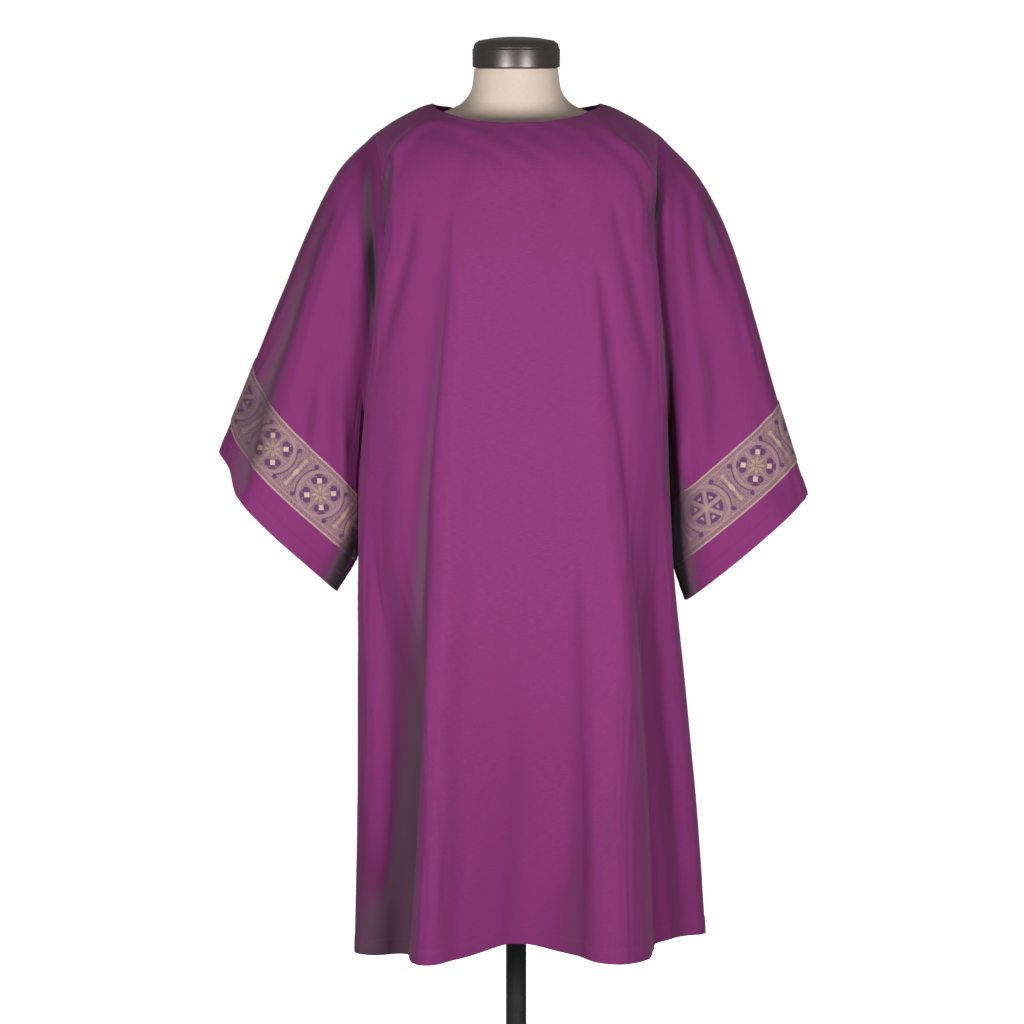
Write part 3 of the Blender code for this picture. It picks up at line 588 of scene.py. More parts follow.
RIGHT_SLEEVE_CREASES = (
    # the deep hollow beside the shoulder
    (-1, ((1430, -195, 6, 6), (1396, -199, 9, 9, -4), (1362, -201, 10, 10, -6),
        (1323, -199, 10, 10, -8), (1292, -197, 9, 9, -10), (1259, -194, 8, 8, -11),
        (1209, -193, 8, 8, -10), (1156, -196, 9, 9, -6), (1095, -201, 10, 10, -3),
        (1055, -209, 10, 10))),
    # painted shade of that hollow, and of the narrow slits beside it
    (-1, ((1430, -198, 10.9, 10.9, 0, 0.1), (1396, -198, 15, 13.6, 0, 0.45),
        (1356, -199, 19, 15, 0, 0.74), (1310, -198, 15, 15, 0, 0.8), (1260, -192, 9.5, 6.8, 0, 1),
        (1209, -189, 8.2, 5.4, 0, 0.8), (1156, -193, 8.2, 6.8, 0, 0.3), (1109, -200, 9.5, 9.5))),
    (-1, ((1396, -174, 4.1, 4.1), (1359, -175, 4.1, 5.4, 0, 0.8), (1327, -177, 4.1, 5.4, 0, 0.7),
        (1290, -179, 4.1, 4.1))),
    (-1, ((1310, -195, 4.1, 4.1), (1281, -195, 5.4, 4.8, 0, 0.7), (1255, -194, 6.8, 5.4, 0, 1),
        (1220, -192, 5.4, 4.1, 0, 0.8), (1176, -190, 4.1, 4.1))),
    # the trough inside the over-arm edge, and the edge of the flat beside it
    (-1, ((1356, -236, 7.5, 4.8), (1322, -252, 11.2, 7.2, -4), (1276, -273, 13.7, 8.8, -6),
        (1233, -287, 15, 9.6, -7), (1195, -299, 15, 9.6, -8), (1156, -311, 15, 9.6, -8),
        (1117, -326, 15, 9.6, -8), (1074, -339, 15, 9.6, -7), (1020, -351, 13.7, 8.8, -6),
        (980, -362, 12.5, 8, -5), (926, -372, 12.5, 8, -4))),
    (-1, ((1356, -213, 6.2, 10.4), (1309, -230, 7.7, 13, 3), (1256, -249, 8.5, 14.3, 4),
        (1189, -270, 8.5, 14.3, 4), (1121, -290, 8.5, 14.3, 3), (1074, -306, 8.5, 14.3, 2),
        (1020, -320, 8.5, 14.3))),
    # painted shade from the trough out to the sleeve's outer edge
    (-1, ((1369, -236, 13.6, 8.2), (1318, -263, 27.2, 15, 0, 0.62),
        (1262, -280, 29.9, 17.7, 0, 0.66), (1209, -298, 32.6, 20.4, 0, 0.7),
        (1155, -311, 35.4, 19, 0, 0.72), (1101, -333, 35.4, 27.2, 0, 0.76),
        (1061, -349, 32.6, 34, 0, 0.86), (1014, -362, 29.9, 36.7, 0, 0.8),
        (973, -371, 24.5, 27.2, 0, 0.74), (926, -374, 19, 19))),
    # soft folds of the lower sleeve
    (-1, ((1129, -228, 9, 9), (1075, -223, 10, 10, -2), (1021, -222, 10, 10, -3),
        (981, -224, 10, 10, -2), (940, -227, 10, 10))),
    (-1, ((1156, -260, 10, 10), (1102, -267, 10, 10, -3, 0.05), (1048, -274, 9, 9, -4, 0.28),
        (1008, -278, 10, 10, -3, 0.1), (940, -280, 12, 12))),
    # painted shade where the cuff turns under beside the body, and lighter on the strip by it
    (-1, ((933, -205, 10.9, 3.3), (906, -210, 14.5, 4.4, 0, 0.6), (875, -221, 16.4, 5, 0, 1.8),
        (850, -232, 16.4, 5, 0, 2), (829, -241, 16.4, 5, 0, 2), (804, -251, 16.4, 5, 0, 2))),
    (-1, ((912, -251, 40.8, 27.2), (872, -261, 35.4, 27.2, 0, 0.22),
        (845, -267, 32.6, 24.5, 0, 0.3), (818, -270, 29.9, 24.5, 0, 0.3))),
    # behind
    (1, ((1380, -205, 8.4, 8.4), (1320, -214, 12, 12, -10, 0.45),
        (1220, -232, 14.4, 14.4, -14.2, 0.45), (1120, -252, 14.4, 14.4, -8.5, 0.4),
        (1020, -270, 14.4, 14.4))),
    (1, ((1240, -282, 9.6, 9.6), (1160, -304, 13.2, 13.2, -8.5, 0.45),
        (1060, -332, 15.6, 15.6, -10, 0.45), (930, -366, 16.8, 16.8, -5.7, 0.12))),
)

LEFT_SLEEVE_CREASES = (
    # the edge that stands beside the shoulder's gap, whose darkness is painted below
    (-1, ((1410, 193, 6, 6), (1350, 199, 9, 9, 7), (1263, 200, 9, 9, 8), (1182, 207, 9, 9, 8),
        (1093, 218, 9, 9, 8), (994, 226, 9, 9, 8), (914, 233, 9, 9, 6), (832, 242, 9, 9))),
    # the gap's painted shade, black at its darkest, then its shallow trough
    (-1, ((1439, 183, 5.4, 5.4), (1410, 185, 5.4, 5.4, 0, 0.9), (1370, 186, 5.4, 4.8, 0, 2),
        (1341, 189, 5.4, 4.1, 0, 1.7), (1314, 186, 6.1, 4.8, 0, 1.2),
        (1264, 184, 6.8, 5.4, 0, 0.35), (1210, 190, 6.8, 4.8, 0, 0.05),
        (1157, 199, 6.8, 5.4, 0, 0.7), (1103, 204, 6.1, 4.8, 0, 0.55),
        (1050, 206, 6.8, 6.1, 0, 0.75), (996, 208, 10.9, 9.5, 0, 1.05),
        (942, 213, 10.9, 20.4, 0, 1.6), (889, 217, 9.5, 12.2, 0, 1.9),
        (848, 221, 9.5, 10.9, 0, 1.9), (808, 229, 10.9, 12.2, 0, 1.5))),
    (-1, ((1423, 185, 4, 4), (1377, 186, 5, 5, -4), (1317, 186, 5, 5, -4), (1261, 188, 5, 5, -3),
        (1184, 196, 6, 6, -3), (1094, 203, 7, 7, -4), (1023, 208, 7, 7, -2), (942, 213, 8, 8))),
    # soft folds of the upper and the lower sleeve
    (-1, ((1376, 232, 6, 6), (1343, 232, 9, 9, -4, 0.25), (1290, 234, 10, 10, -5, 0.4),
        (1243, 238, 10, 10, -4, 0.35), (1182, 243, 10, 10, -2, 0.2), (1133, 251, 10, 10, -3, 0.22),
        (1089, 257, 10, 10, -4, 0.3), (1042, 258, 10, 10, -3, 0.25), (981, 260, 10, 10))),
    (-1, ((1343, 249, 7, 7, 0, 0.3), (1310, 258, 9, 9, -3, 0.5), (1265, 266, 10, 10, -4, 0.45),
        (1223, 278, 10, 10, -3, 0.2), (1182, 286, 9, 9))),
    # broad washes of painted shade over the sleeve, beside the body and towards the cuff
    (-1, ((1369, 246, 13.6, 16.3, 0, 0.2), (1313, 265, 10.9, 13.6, 0, 0.45),
        (1260, 284, 10.9, 13.6, 0, 0.35), (1202, 305, 10.9, 13.6, 0, 0.35),
        (1148, 323, 10.9, 13.6, 0, 0.35), (1095, 339, 10.9, 13.6, 0, 0.35),
        (1041, 357, 10.9, 13.6))),
    (-1, ((1021, 233, 13.6, 16.3), (940, 235, 13.6, 19, 0, 0.3), (858, 238, 19, 21.8, 0, 0.6),
        (797, 240, 19, 21.8, 0, 0.5))),
    (-1, ((1236, 262, 21.8, 21.8), (1182, 262, 21.8, 24.5, 0, 0.2), (1128, 265, 21.8, 24.5, 0, 0.2),
        (1074, 268, 24.5, 24.5, 0, 0.14), (1021, 268, 21.8, 21.8, 0, 0.1), (953, 269, 21.8, 21.8))),
    (-1, ((980, 341, 27.2, 27.2), (946, 357, 27.2, 29.9, 0, 0.34),
        (913, 376, 29.9, 29.9, 0, 0.34))),
    # behind
    (1, ((1370, 207, 8.4, 8.4), (1300, 218, 12, 12, -11.4, 0.45),
        (1200, 236, 14.4, 14.4, -12.8, 0.45), (1090, 256, 14.4, 14.4, -5.7, 0.18),
        (1010, 268, 14.4, 14.4))),
    (1, ((1230, 290, 9.6, 9.6), (1120, 318, 14.4, 14.4, -8.5, 0.4),
        (1000, 350, 15.6, 15.6, -8.5, 0.35), (880, 376, 15.6, 15.6, -4.3, 0.05))),
)

MILLIMETRES = 1000
CREASE_COLUMNS = 6
# height of the unevenness, and its waves: how many, how long across and down, how much they lean,
# and how far they shift where the cloth turns to the front or the back
UNDULATION = 0.0008
WAVES = 14
WAVE_ACROSS = (0.035, 0.13)
WAVE_DOWN = (0.15, 0.60)
WAVE_LEAN = 0.12
WAVE_WRAP = 0.3
# how much the cloth's normal turns while a crease of one side fades out
FACING_FADE = 0.5
# for the shade painted in hollows: grid points over which the depth is measured, the depth with
# a full shade, and the most shade
FOLD_BLUR = 4
FOLD_FULL = 0.006
FOLD_MOST = 0.35


def undulation(x, z, seed):
    """Slight unevenness of hanging cloth, longer down than across."""
    rng = np.random.default_rng(seed)
    total = np.zeros_like(x)
    for _ in range(WAVES):
        across, down = rng.uniform(*WAVE_ACROSS), rng.uniform(*WAVE_DOWN)
        lean, phase = rng.uniform(-WAVE_LEAN, WAVE_LEAN), rng.uniform(0, 2 * np.pi, 2)
        total += np.sin(2 * np.pi * (x + lean * z) / across + phase[0]) * np.sin(
            2 * np.pi * z / down + phase[1])
    return total / WAVES**0.5


def in_metres(rows):
    """A crease's rows from the lowest up, in metres, with 0 for a depth or a shade left out."""
    whole = []
    for row in rows:
        *lengths, shade = (*row, 0, 0)[:CREASE_COLUMNS]
        whole.append((*(length / MILLIMETRES for length in lengths), shade))
    return sorted(whole)


def creased(grid, creases, held, wrapped, seed):
    """The grid pushed in or out along its normals at the creases, and the shade painted in them."""
    normals = grid_normals(grid, wrapped)
    x, z = grid[..., 0], grid[..., 2]
    total = UNDULATION * undulation(x + WAVE_WRAP * normals[..., 1], z, seed)
    shade = np.zeros_like(x)
    for facing, rows in creases:
        rows = in_metres(rows)
        at_x, to_right, to_left, depth, dark = np.moveaxis(smooth_table(rows)(z), -1, 0)
        away = (x - at_x) / np.where(x < at_x, to_right, to_left)
        here = (z >= rows[0][0]) & (z <= rows[-1][0])
        here = here * np.exp(-(away**2)) * ease(facing * normals[..., 1] / FACING_FADE + 0.5)
        total += depth * here
        # the crease's painted shade
        shade += dark * here
    return grid + normals * (total * held)[..., None], shade


def grid_normals(grid, wrapped):
    """Unit normals at the points of a grid."""
    closed = closing(grid) if wrapped else grid
    face = np.cross(closed[1:, :-1] - closed[:-1, 1:], closed[1:, 1:] - closed[:-1, :-1])
    total = np.zeros_like(closed)
    for rows in (slice(0, -1), slice(1, None)):
        for columns in (slice(0, -1), slice(1, None)):
            total[rows, columns] += face
    if wrapped:
        total[:, 0] += total[:, -1]
        total = total[:, :-1]
    return total / np.maximum(np.linalg.norm(total, axis=-1, keepdims=True), TINY)


def blurred(values, wrapped, reach):
    """Values of a grid, blurred along its columns and rows by about reach points."""
    pad = 3 * reach
    kernel = np.exp(-((np.arange(-pad, pad + 1) / reach) ** 2) / 2)
    kernel /= kernel.sum()
    for axis in (0, 1):
        mode = "wrap" if wrapped and axis == 1 else "edge"
        widths = [(0, 0)] * values.ndim
        widths[axis] = (pad, pad)
        padded = np.pad(values, widths, mode=mode)
        values = np.apply_along_axis(lambda line: np.convolve(line, kernel, "valid"), axis, padded)
    return values


def cavity_shade(grid, normals, wrapped):
    """Painted shade by how far each point lies below the cloth near it; 1 is full shade."""
    below = np.sum((blurred(grid, wrapped, FOLD_BLUR) - grid) * normals, axis=-1)
    return np.clip(below / FOLD_FULL, 0, FOLD_MOST)


# ---- meshes -------------------------------------------------------------------------------------
def shell(name, grid, normals, low, high, wrapped, material, uv, marks, seam=None):
    """A closed thin shell: skins at two heights over a grid, and rims at its free edges.

    uv has one column more than a wrapped grid, for the faces that close it. marks are numbers
    kept at the points, by name. seam is a column at which the map starts afresh, and its jump.
    """
    rows, columns = grid.shape[:2]
    outer = (grid + normals * high[..., None]).reshape(-1, 3)
    inner = (grid + normals * low[..., None]).reshape(-1, 3)
    count = rows * columns
    last = columns if wrapped else columns - 1
    i, j = (a.ravel() for a in np.meshgrid(np.arange(rows - 1), np.arange(last), indexing="ij"))
    across, down = np.arange(last), np.arange(rows - 1)
    zero, end_row, end_column = 0 * across, 0 * across + rows - 1, 0 * down + columns - 1
    # corners of each face as rows, columns and skin (0 outside, 1 inside)
    rim = (0, 0, 1, 1)
    faces = [
        ([i, i + 1, i + 1, i], [j, j, j + 1, j + 1], (0, 0, 0, 0)),
        ([i, i, i + 1, i + 1], [j, j + 1, j + 1, j], (1, 1, 1, 1)),
        ([zero] * 4, [across, across + 1, across + 1, across], rim),
        ([end_row] * 4, [across + 1, across, across, across + 1], rim),
    ]
    if not wrapped:
        faces.append(([down + 1, down, down, down + 1], [0 * down] * 4, rim))
        faces.append(([down, down + 1, down + 1, down], [end_column] * 4, rim))
    corners, maps = [], []
    for at_row, at_column, skin in faces:
        corners.append(np.stack([r * columns + c % columns + k * count
                                 for r, c, k in zip(at_row, at_column, skin)], axis=-1))
        maps.append(np.stack([uv[r, c] for r, c in zip(at_row, at_column)], axis=1))
        if seam:
            beyond = (np.min(at_column, axis=0) >= seam[0])[:, None]
            maps[-1][..., 0] += beyond * seam[1]
    corners, maps = np.vstack(corners), np.concatenate(maps)
    data = bpy.data.meshes.new(name)
    points = np.vstack([outer, inner]) + PART_SHIFT
    data.vertices.add(len(points))
    data.vertices.foreach_set("co", points.astype(np.float32).ravel())
    data.loops.add(corners.size)
    data.loops.foreach_set("vertex_index", corners.astype(np.int32).ravel())
    data.polygons.add(len(corners))
    data.polygons.foreach_set("loop_start", np.arange(0, corners.size, QUAD, dtype=np.int32))
    data.update(calc_edges=True)
    layer = data.uv_layers.new(name="cloth")
    layer.data.foreach_set("uv", maps.astype(np.float32).ravel())
    for mark, values in marks.items():
        attribute = data.attributes.new(mark, "FLOAT", "POINT")
        attribute.data.foreach_set("value", np.tile(values.ravel(), 2).astype(np.float32))
    return smooth_object(name, data, material, SHELL_SHARP)


def placed(name, data):
    """A new object of the data, in the scene."""
    made = bpy.data.objects.new(name, data)
    bpy.context.scene.collection.objects.link(made)
    return made


def smooth_object(name, data, material, sharp):
    """An object of the mesh, smooth but where its faces meet at more than sharp degrees."""
    data.materials.append(material)
    data.shade_smooth()
    data.set_sharp_from_angle(angle=math.radians(sharp))
    return placed(name, data)


def lofted(name, rings, material):
    """A closed solid through rings of equal count, from the bottom ring up."""
    count, levels = len(rings[0]), len(rings)
    rings = np.array(rings)
    faces = [(low + j, low + (j + 1) % count, low + count + (j + 1) % count, low + count + j)
             for low in range(0, (levels - 1) * count, count) for j in range(count)]
    faces.append(tuple(range(count - 1, -1, -1)))
    faces.append(tuple(range((levels - 1) * count, levels * count)))
    data = bpy.data.meshes.new(name)
    data.from_pydata((rings.reshape(-1, 3) + PART_SHIFT).tolist(), [], faces)
    layer = data.uv_layers.new(name="cloth")
    middle = rings[:, :, :2].mean(axis=1, keepdims=True)
    reach = np.linalg.norm(rings[:, :, :2] - middle, axis=-1).max()
    for face in data.polygons:
        for corner in face.loop_indices:
            at = data.loops[corner].vertex_index
            level, j = divmod(at, count)
            if j == 0 and len(face.vertices) == QUAD and at + count - 1 in face.vertices:
                j = count
            layer.data[corner].uv = (2 * math.pi * reach * j / count, rings[level, 0, 2])
    return smooth_object(name, data, material, SOLID_SHARP)


def circle(radius, height, count):
    turn = np.linspace(0, 2 * np.pi, count, endpoint=False)
    return np.column_stack([radius * np.cos(turn), radius * np.sin(turn), np.full(count, height)])


# ---- materials ----------------------------------------------------------------------------------
# Noise is given in spots to the metre and surface heights in metres. A share goes from 0 to 1, and
# noise and folds are turned into one by a rise between two of their values.
SHEEN_ROUGHNESS = 0.45
WHITE = (1.0, 1.0, 1.0, 1.0)
# a mix node's inputs for the share and the two colours, and its output for the colour
MIX_INPUTS = (0, 6, 7)
MIX_OUTPUT = 2


def feed(tree, places, values):
    """Links values to a node's inputs, or sets the inputs where they are plain."""
    for place, value in zip(places, values):
        if isinstance(value, Value):
            tree.links.new(value.socket, place)
        else:
            place.default_value = value


class Value:
    """A number or a colour in a material's node tree, with the usual arithmetic."""

    def __init__(self, tree, socket):
        self.tree, self.socket = tree, socket

    def math(self, operation, *others):
        node = self.tree.nodes.new("ShaderNodeMath")
        node.operation = operation
        feed(self.tree, node.inputs, (self, *others))
        return Value(self.tree, node.outputs[0])

    def __add__(self, other):
        return self.math("ADD", other)

    def __sub__(self, other):
        return self.math("SUBTRACT", other)

    def __mul__(self, other):
        return self.math("MULTIPLY", other)

    __radd__, __rmul__ = __add__, __mul__

    def __rsub__(self, other):
        return (self * -1.0) + other

    def __truediv__(self, other):
        return self.math("DIVIDE", other)

    def over(self, other):
        return self.math("GREATER_THAN", other)

    def least(self, other):
        return self.math("MINIMUM", other)

    def most(self, other):
        return self.math("MAXIMUM", other)

    def size(self):
        return self.math("ABSOLUTE")

    def sine(self, period):
        return (self * (2 * math.pi / period)).math("SINE")

    def root(self):
        return self.math("SQRT")

    def rise(self, low, high):
        """0 to 1 as the number goes from low to high."""
        node = self.tree.nodes.new("ShaderNodeMapRange")
        node.interpolation_type = "SMOOTHSTEP"
        node.inputs["From Min"].default_value = low
        node.inputs["From Max"].default_value = high
        self.tree.links.new(self.socket, node.inputs["Value"])
        return Value(self.tree, node.outputs["Result"])


def start_material(name, roughness, metallic=0.0, sheen=0.0, specular=0.5):
    material = bpy.data.materials.new(name)
    material.use_nodes = True
    shader = material.node_tree.nodes["Principled BSDF"]
    for place, value in (("Roughness", roughness), ("Metallic", metallic), ("Sheen Weight", sheen),
                         ("Sheen Roughness", SHEEN_ROUGHNESS), ("Specular IOR Level", specular)):
        shader.inputs[place].default_value = value
    return material, material.node_tree


def finished(material, values, height=None):
    """The material with values linked to its shader and its surface raised by height, in metres."""
    tree = material.node_tree
    shader = tree.nodes["Principled BSDF"]
    feed(tree, [shader.inputs[place] for place in values], values.values())
    if height is not None:
        node = tree.nodes.new("ShaderNodeBump")
        places = [node.inputs[place] for place in ("Strength", "Distance", "Height")]
        feed(tree, places, (1.0, 1.0, height))
        tree.links.new(node.outputs[0], shader.inputs["Normal"])
    return material


def glowing(material, strength):
    """The material giving off white light of its own."""
    shader = material.node_tree.nodes["Principled BSDF"]
    shader.inputs["Emission Color"].default_value = WHITE
    shader.inputs["Emission Strength"].default_value = strength
    return material


def cloth_place(tree):
    """Metres across and along the cloth, from the piece's own map."""
    node = tree.nodes.new("ShaderNodeUVMap")
    node.uv_map = "cloth"
    split = tree.nodes.new("ShaderNodeSeparateXYZ")
    tree.links.new(node.outputs["UV"], split.inputs[0])
    return Value(tree, split.outputs["X"]), Value(tree, split.outputs["Y"])


def object_place(tree):
    """Metres from the part's origin."""
    node = tree.nodes.new("ShaderNodeTexCoord")
    split = tree.nodes.new("ShaderNodeSeparateXYZ")
    tree.links.new(node.outputs["Object"], split.inputs[0])
    return [Value(tree, split.outputs[k]) for k in "XYZ"]


def reading(tree, name):
    """A number that a mesh keeps under the name."""
    node = tree.nodes.new("ShaderNodeAttribute")
    node.attribute_name = name
    return Value(tree, node.outputs["Fac"])


def noise(x, y, z, detail=2.0, roughness=0.5):
    """Smooth noise about 0.5, at a place whose unit is the size of its spots."""
    tree = x.tree
    join = tree.nodes.new("ShaderNodeCombineXYZ")
    feed(tree, join.inputs, (x, y, z))
    node = tree.nodes.new("ShaderNodeTexNoise")
    places = [node.inputs[place] for place in ("Scale", "Detail", "Roughness")]
    feed(tree, places, (1.0, detail, roughness))
    tree.links.new(join.outputs[0], node.inputs["Vector"])
    return Value(tree, node.outputs["Fac"])


def blend(share, one, two):
    """The colour one, going over to two as share goes from 0 to 1."""
    node = share.tree.nodes.new("ShaderNodeMix")
    node.data_type = "RGBA"
    colours = [(*c, 1.0) if isinstance(c, tuple) else c for c in (one, two)]
    feed(share.tree, [node.inputs[k] for k in MIX_INPUTS], (share, *colours))
    return Value(share.tree, node.outputs[MIX_OUTPUT])


def layered(tone, *layers):
    """The colour with others laid over it in turn, each by its share."""
    for share, colour in layers:
        tone = blend(share, tone, colour)
    return tone


def plain_weave(x, y, yarn):
    """Height of a plain weave, 0 to 1: each yarn passes over one and under the next."""
    warp, weft = x.sine(2 * yarn), y.sine(2 * yarn)
    over = (warp * weft).over(0.0)
    return warp.size() * over + weft.size() * (1.0 - over)


VIOLET = (0.262, 0.030, 0.182)
VIOLET_LIGHT = (0.300, 0.042, 0.214)
VIOLET_DEEP = (0.205, 0.024, 0.146)
# shade painted in creases, grooves and slits, from soft to black
VIOLET_SOFT_SHADE = (0.165, 0.018, 0.112)
VIOLET_SHADE = (0.126, 0.058, 0.104)
BLACK_SHADE = (0.018, 0.016, 0.018)
THREAD = (0.330, 0.060, 0.240)
YARN = 0.00042
# how far from a row of stitches the thread and the groove (with its painted shade) reach, from
# where they begin to fade
THREAD_EDGE = (0.00025, 0.00045)
GROOVE_EDGE = (0.0003, 0.0013)
STITCH_LENGTH = 0.0034
STITCH_SHARE = (-0.5, -0.2)


def cloth_material():
    """Violet cloth of slubbed yarns with stitch rows in grooves, and shade painted in its hollows.
    """
    material, tree = start_material("violet_cloth", 0.82, sheen=0.10, specular=0.25)
    x, y = cloth_place(tree)
    slub = noise(x * 90.0, y * 1400.0, 0.0, detail=3.0, roughness=0.65)
    warp = noise(x * 1400.0, y * 60.0, 7.0)
    broad = noise(x * 7.0, y * 5.0, 3.0)
    yarns = plain_weave(x, y, YARN)
    painted_shade = reading(tree, "painted_shade")
    from_row = reading(tree, "stitch").size()
    groove_and_its_shade = 1.0 - from_row.rise(*GROOVE_EDGE)
    thread = (1.0 - from_row.rise(*THREAD_EDGE)) * (x + y).sine(STITCH_LENGTH).rise(*STITCH_SHARE)
    tone = layered(
        blend(slub.rise(0.30, 0.72), VIOLET_DEEP, VIOLET_LIGHT),
        (warp.rise(0.25, 0.75) * 0.45, VIOLET_DEEP),
        (broad.rise(0.30, 0.70) * 0.35, VIOLET),
        # painted shade between the yarns
        ((1.0 - yarns) * 0.30, VIOLET_DEEP),
        # painted shade in the creases: soft, then grey, then black in the slits and gaps
        (painted_shade.rise(0.0, 0.6) * 0.85, VIOLET_SOFT_SHADE),
        (painted_shade.rise(0.35, 1.0) * 0.94, VIOLET_SHADE),
        (painted_shade.rise(0.9, 2.0) * 0.92, BLACK_SHADE),
        # painted shade along each stitch row's groove
        (groove_and_its_shade * 0.22, VIOLET_SOFT_SHADE),
        (thread * 0.40, THREAD),
    )
    weave = yarns * 0.00005 + slub * 0.00008 + warp * 0.00004
    height = weave - groove_and_its_shade * 0.00025 + thread * 0.00020
    return finished(material, {"Base Color": tone, "Roughness": slub.rise(0.2, 0.8) * 0.12 + 0.76},
                    height)


BAND_PITCH = 0.094
BAND_VIOLET = (0.105, 0.022, 0.130)
BAND_LOW = (0.150, 0.058, 0.130)
BAND_GROUND = (0.455, 0.285, 0.258)
BAND_ROSE = (0.435, 0.262, 0.262)
BAND_EDGE = (0.640, 0.440, 0.345)
BAND_GOLD = (0.480, 0.330, 0.235)
BAND_BRIGHT = (0.740, 0.510, 0.390)
BAND_SHADE = (0.075, 0.036, 0.056)
EIGHTH_TURN = 0.7071
SIXTH_TURN = (0.8660, 0.5)
# the band's motifs, in metres: place outwards and aside, then half sizes or a radius
SQUARE = (0.0198, 0.0, 0.0037, 0.0036)
LOBE_END = (0.0243, 0.0, 0.0069)
LOBE_SIDE = (0.0202, 0.0064, 0.0054)
NOTCH = (0.0262, 0.0046, 0.0012)
SPOKE = (0.0190, 0.0, 0.0085, 0.0017)
KNOB = (0.0300, 0.0262, 0.0034)
BAR = (0.0, 0.0, 0.0017, 0.0205)
BAR_END = (0.0, 0.0212, 0.0033)
# place of a line's middle, and half its width
VEINS = (0.0068, 0.0036)
EYE = (0.0020, 0.0006)
PETALS = (0.0165, 0.0080)
SEEDS = (0.0165, 0.0022)
RING = (0.0322, 0.0023)
ARC = (0.0366, 0.0008)
FLANK = (0.0040, 0.0006)
BORDER_LINE = (0.0322, 0.0005)
BORDER_BEADS = (0.0360, 0.0011)
BORDER_EDGE = (0.0398, 0.0012)
ROSETTE_RADIUS, ROSETTE_WAVE = 0.0102, 0.0018
ARM_HALF, ARM_WIDENING, ARM_LENGTH = 0.0019, 0.02, 0.0262
PETAL_GAP, SEED_REACH, STAR_EYE = 0.0036, 0.0060, 0.0042
ARC_END, FLANK_END, FLANK_LEAN = 0.0255, 0.019, 0.10
LOZENGE_HALF, LOZENGE_LEAN = 0.0052, 0.7
BEADS = 20
WEFT_PITCH, WARP_PITCH = 0.0013, 0.0016


def inside(distance, soft=0.0004):
    """1 where a signed distance is below zero, with a soft edge."""
    return 1.0 - distance.rise(-soft, soft)


def near(distance, middle, half):
    """1 within half of the middle."""
    return inside((distance - middle).size() - half)


def box(a, b, at_a, at_b, half_a, half_b):
    """Signed distance from an upright box."""
    return ((a - at_a).size() - half_a).most((b - at_b).size() - half_b)


def disc(a, b, at_a, at_b, reach):
    """Signed distance from a disc."""
    a, b = a - at_a, b - at_b
    return (a * a + b * b).root() - reach


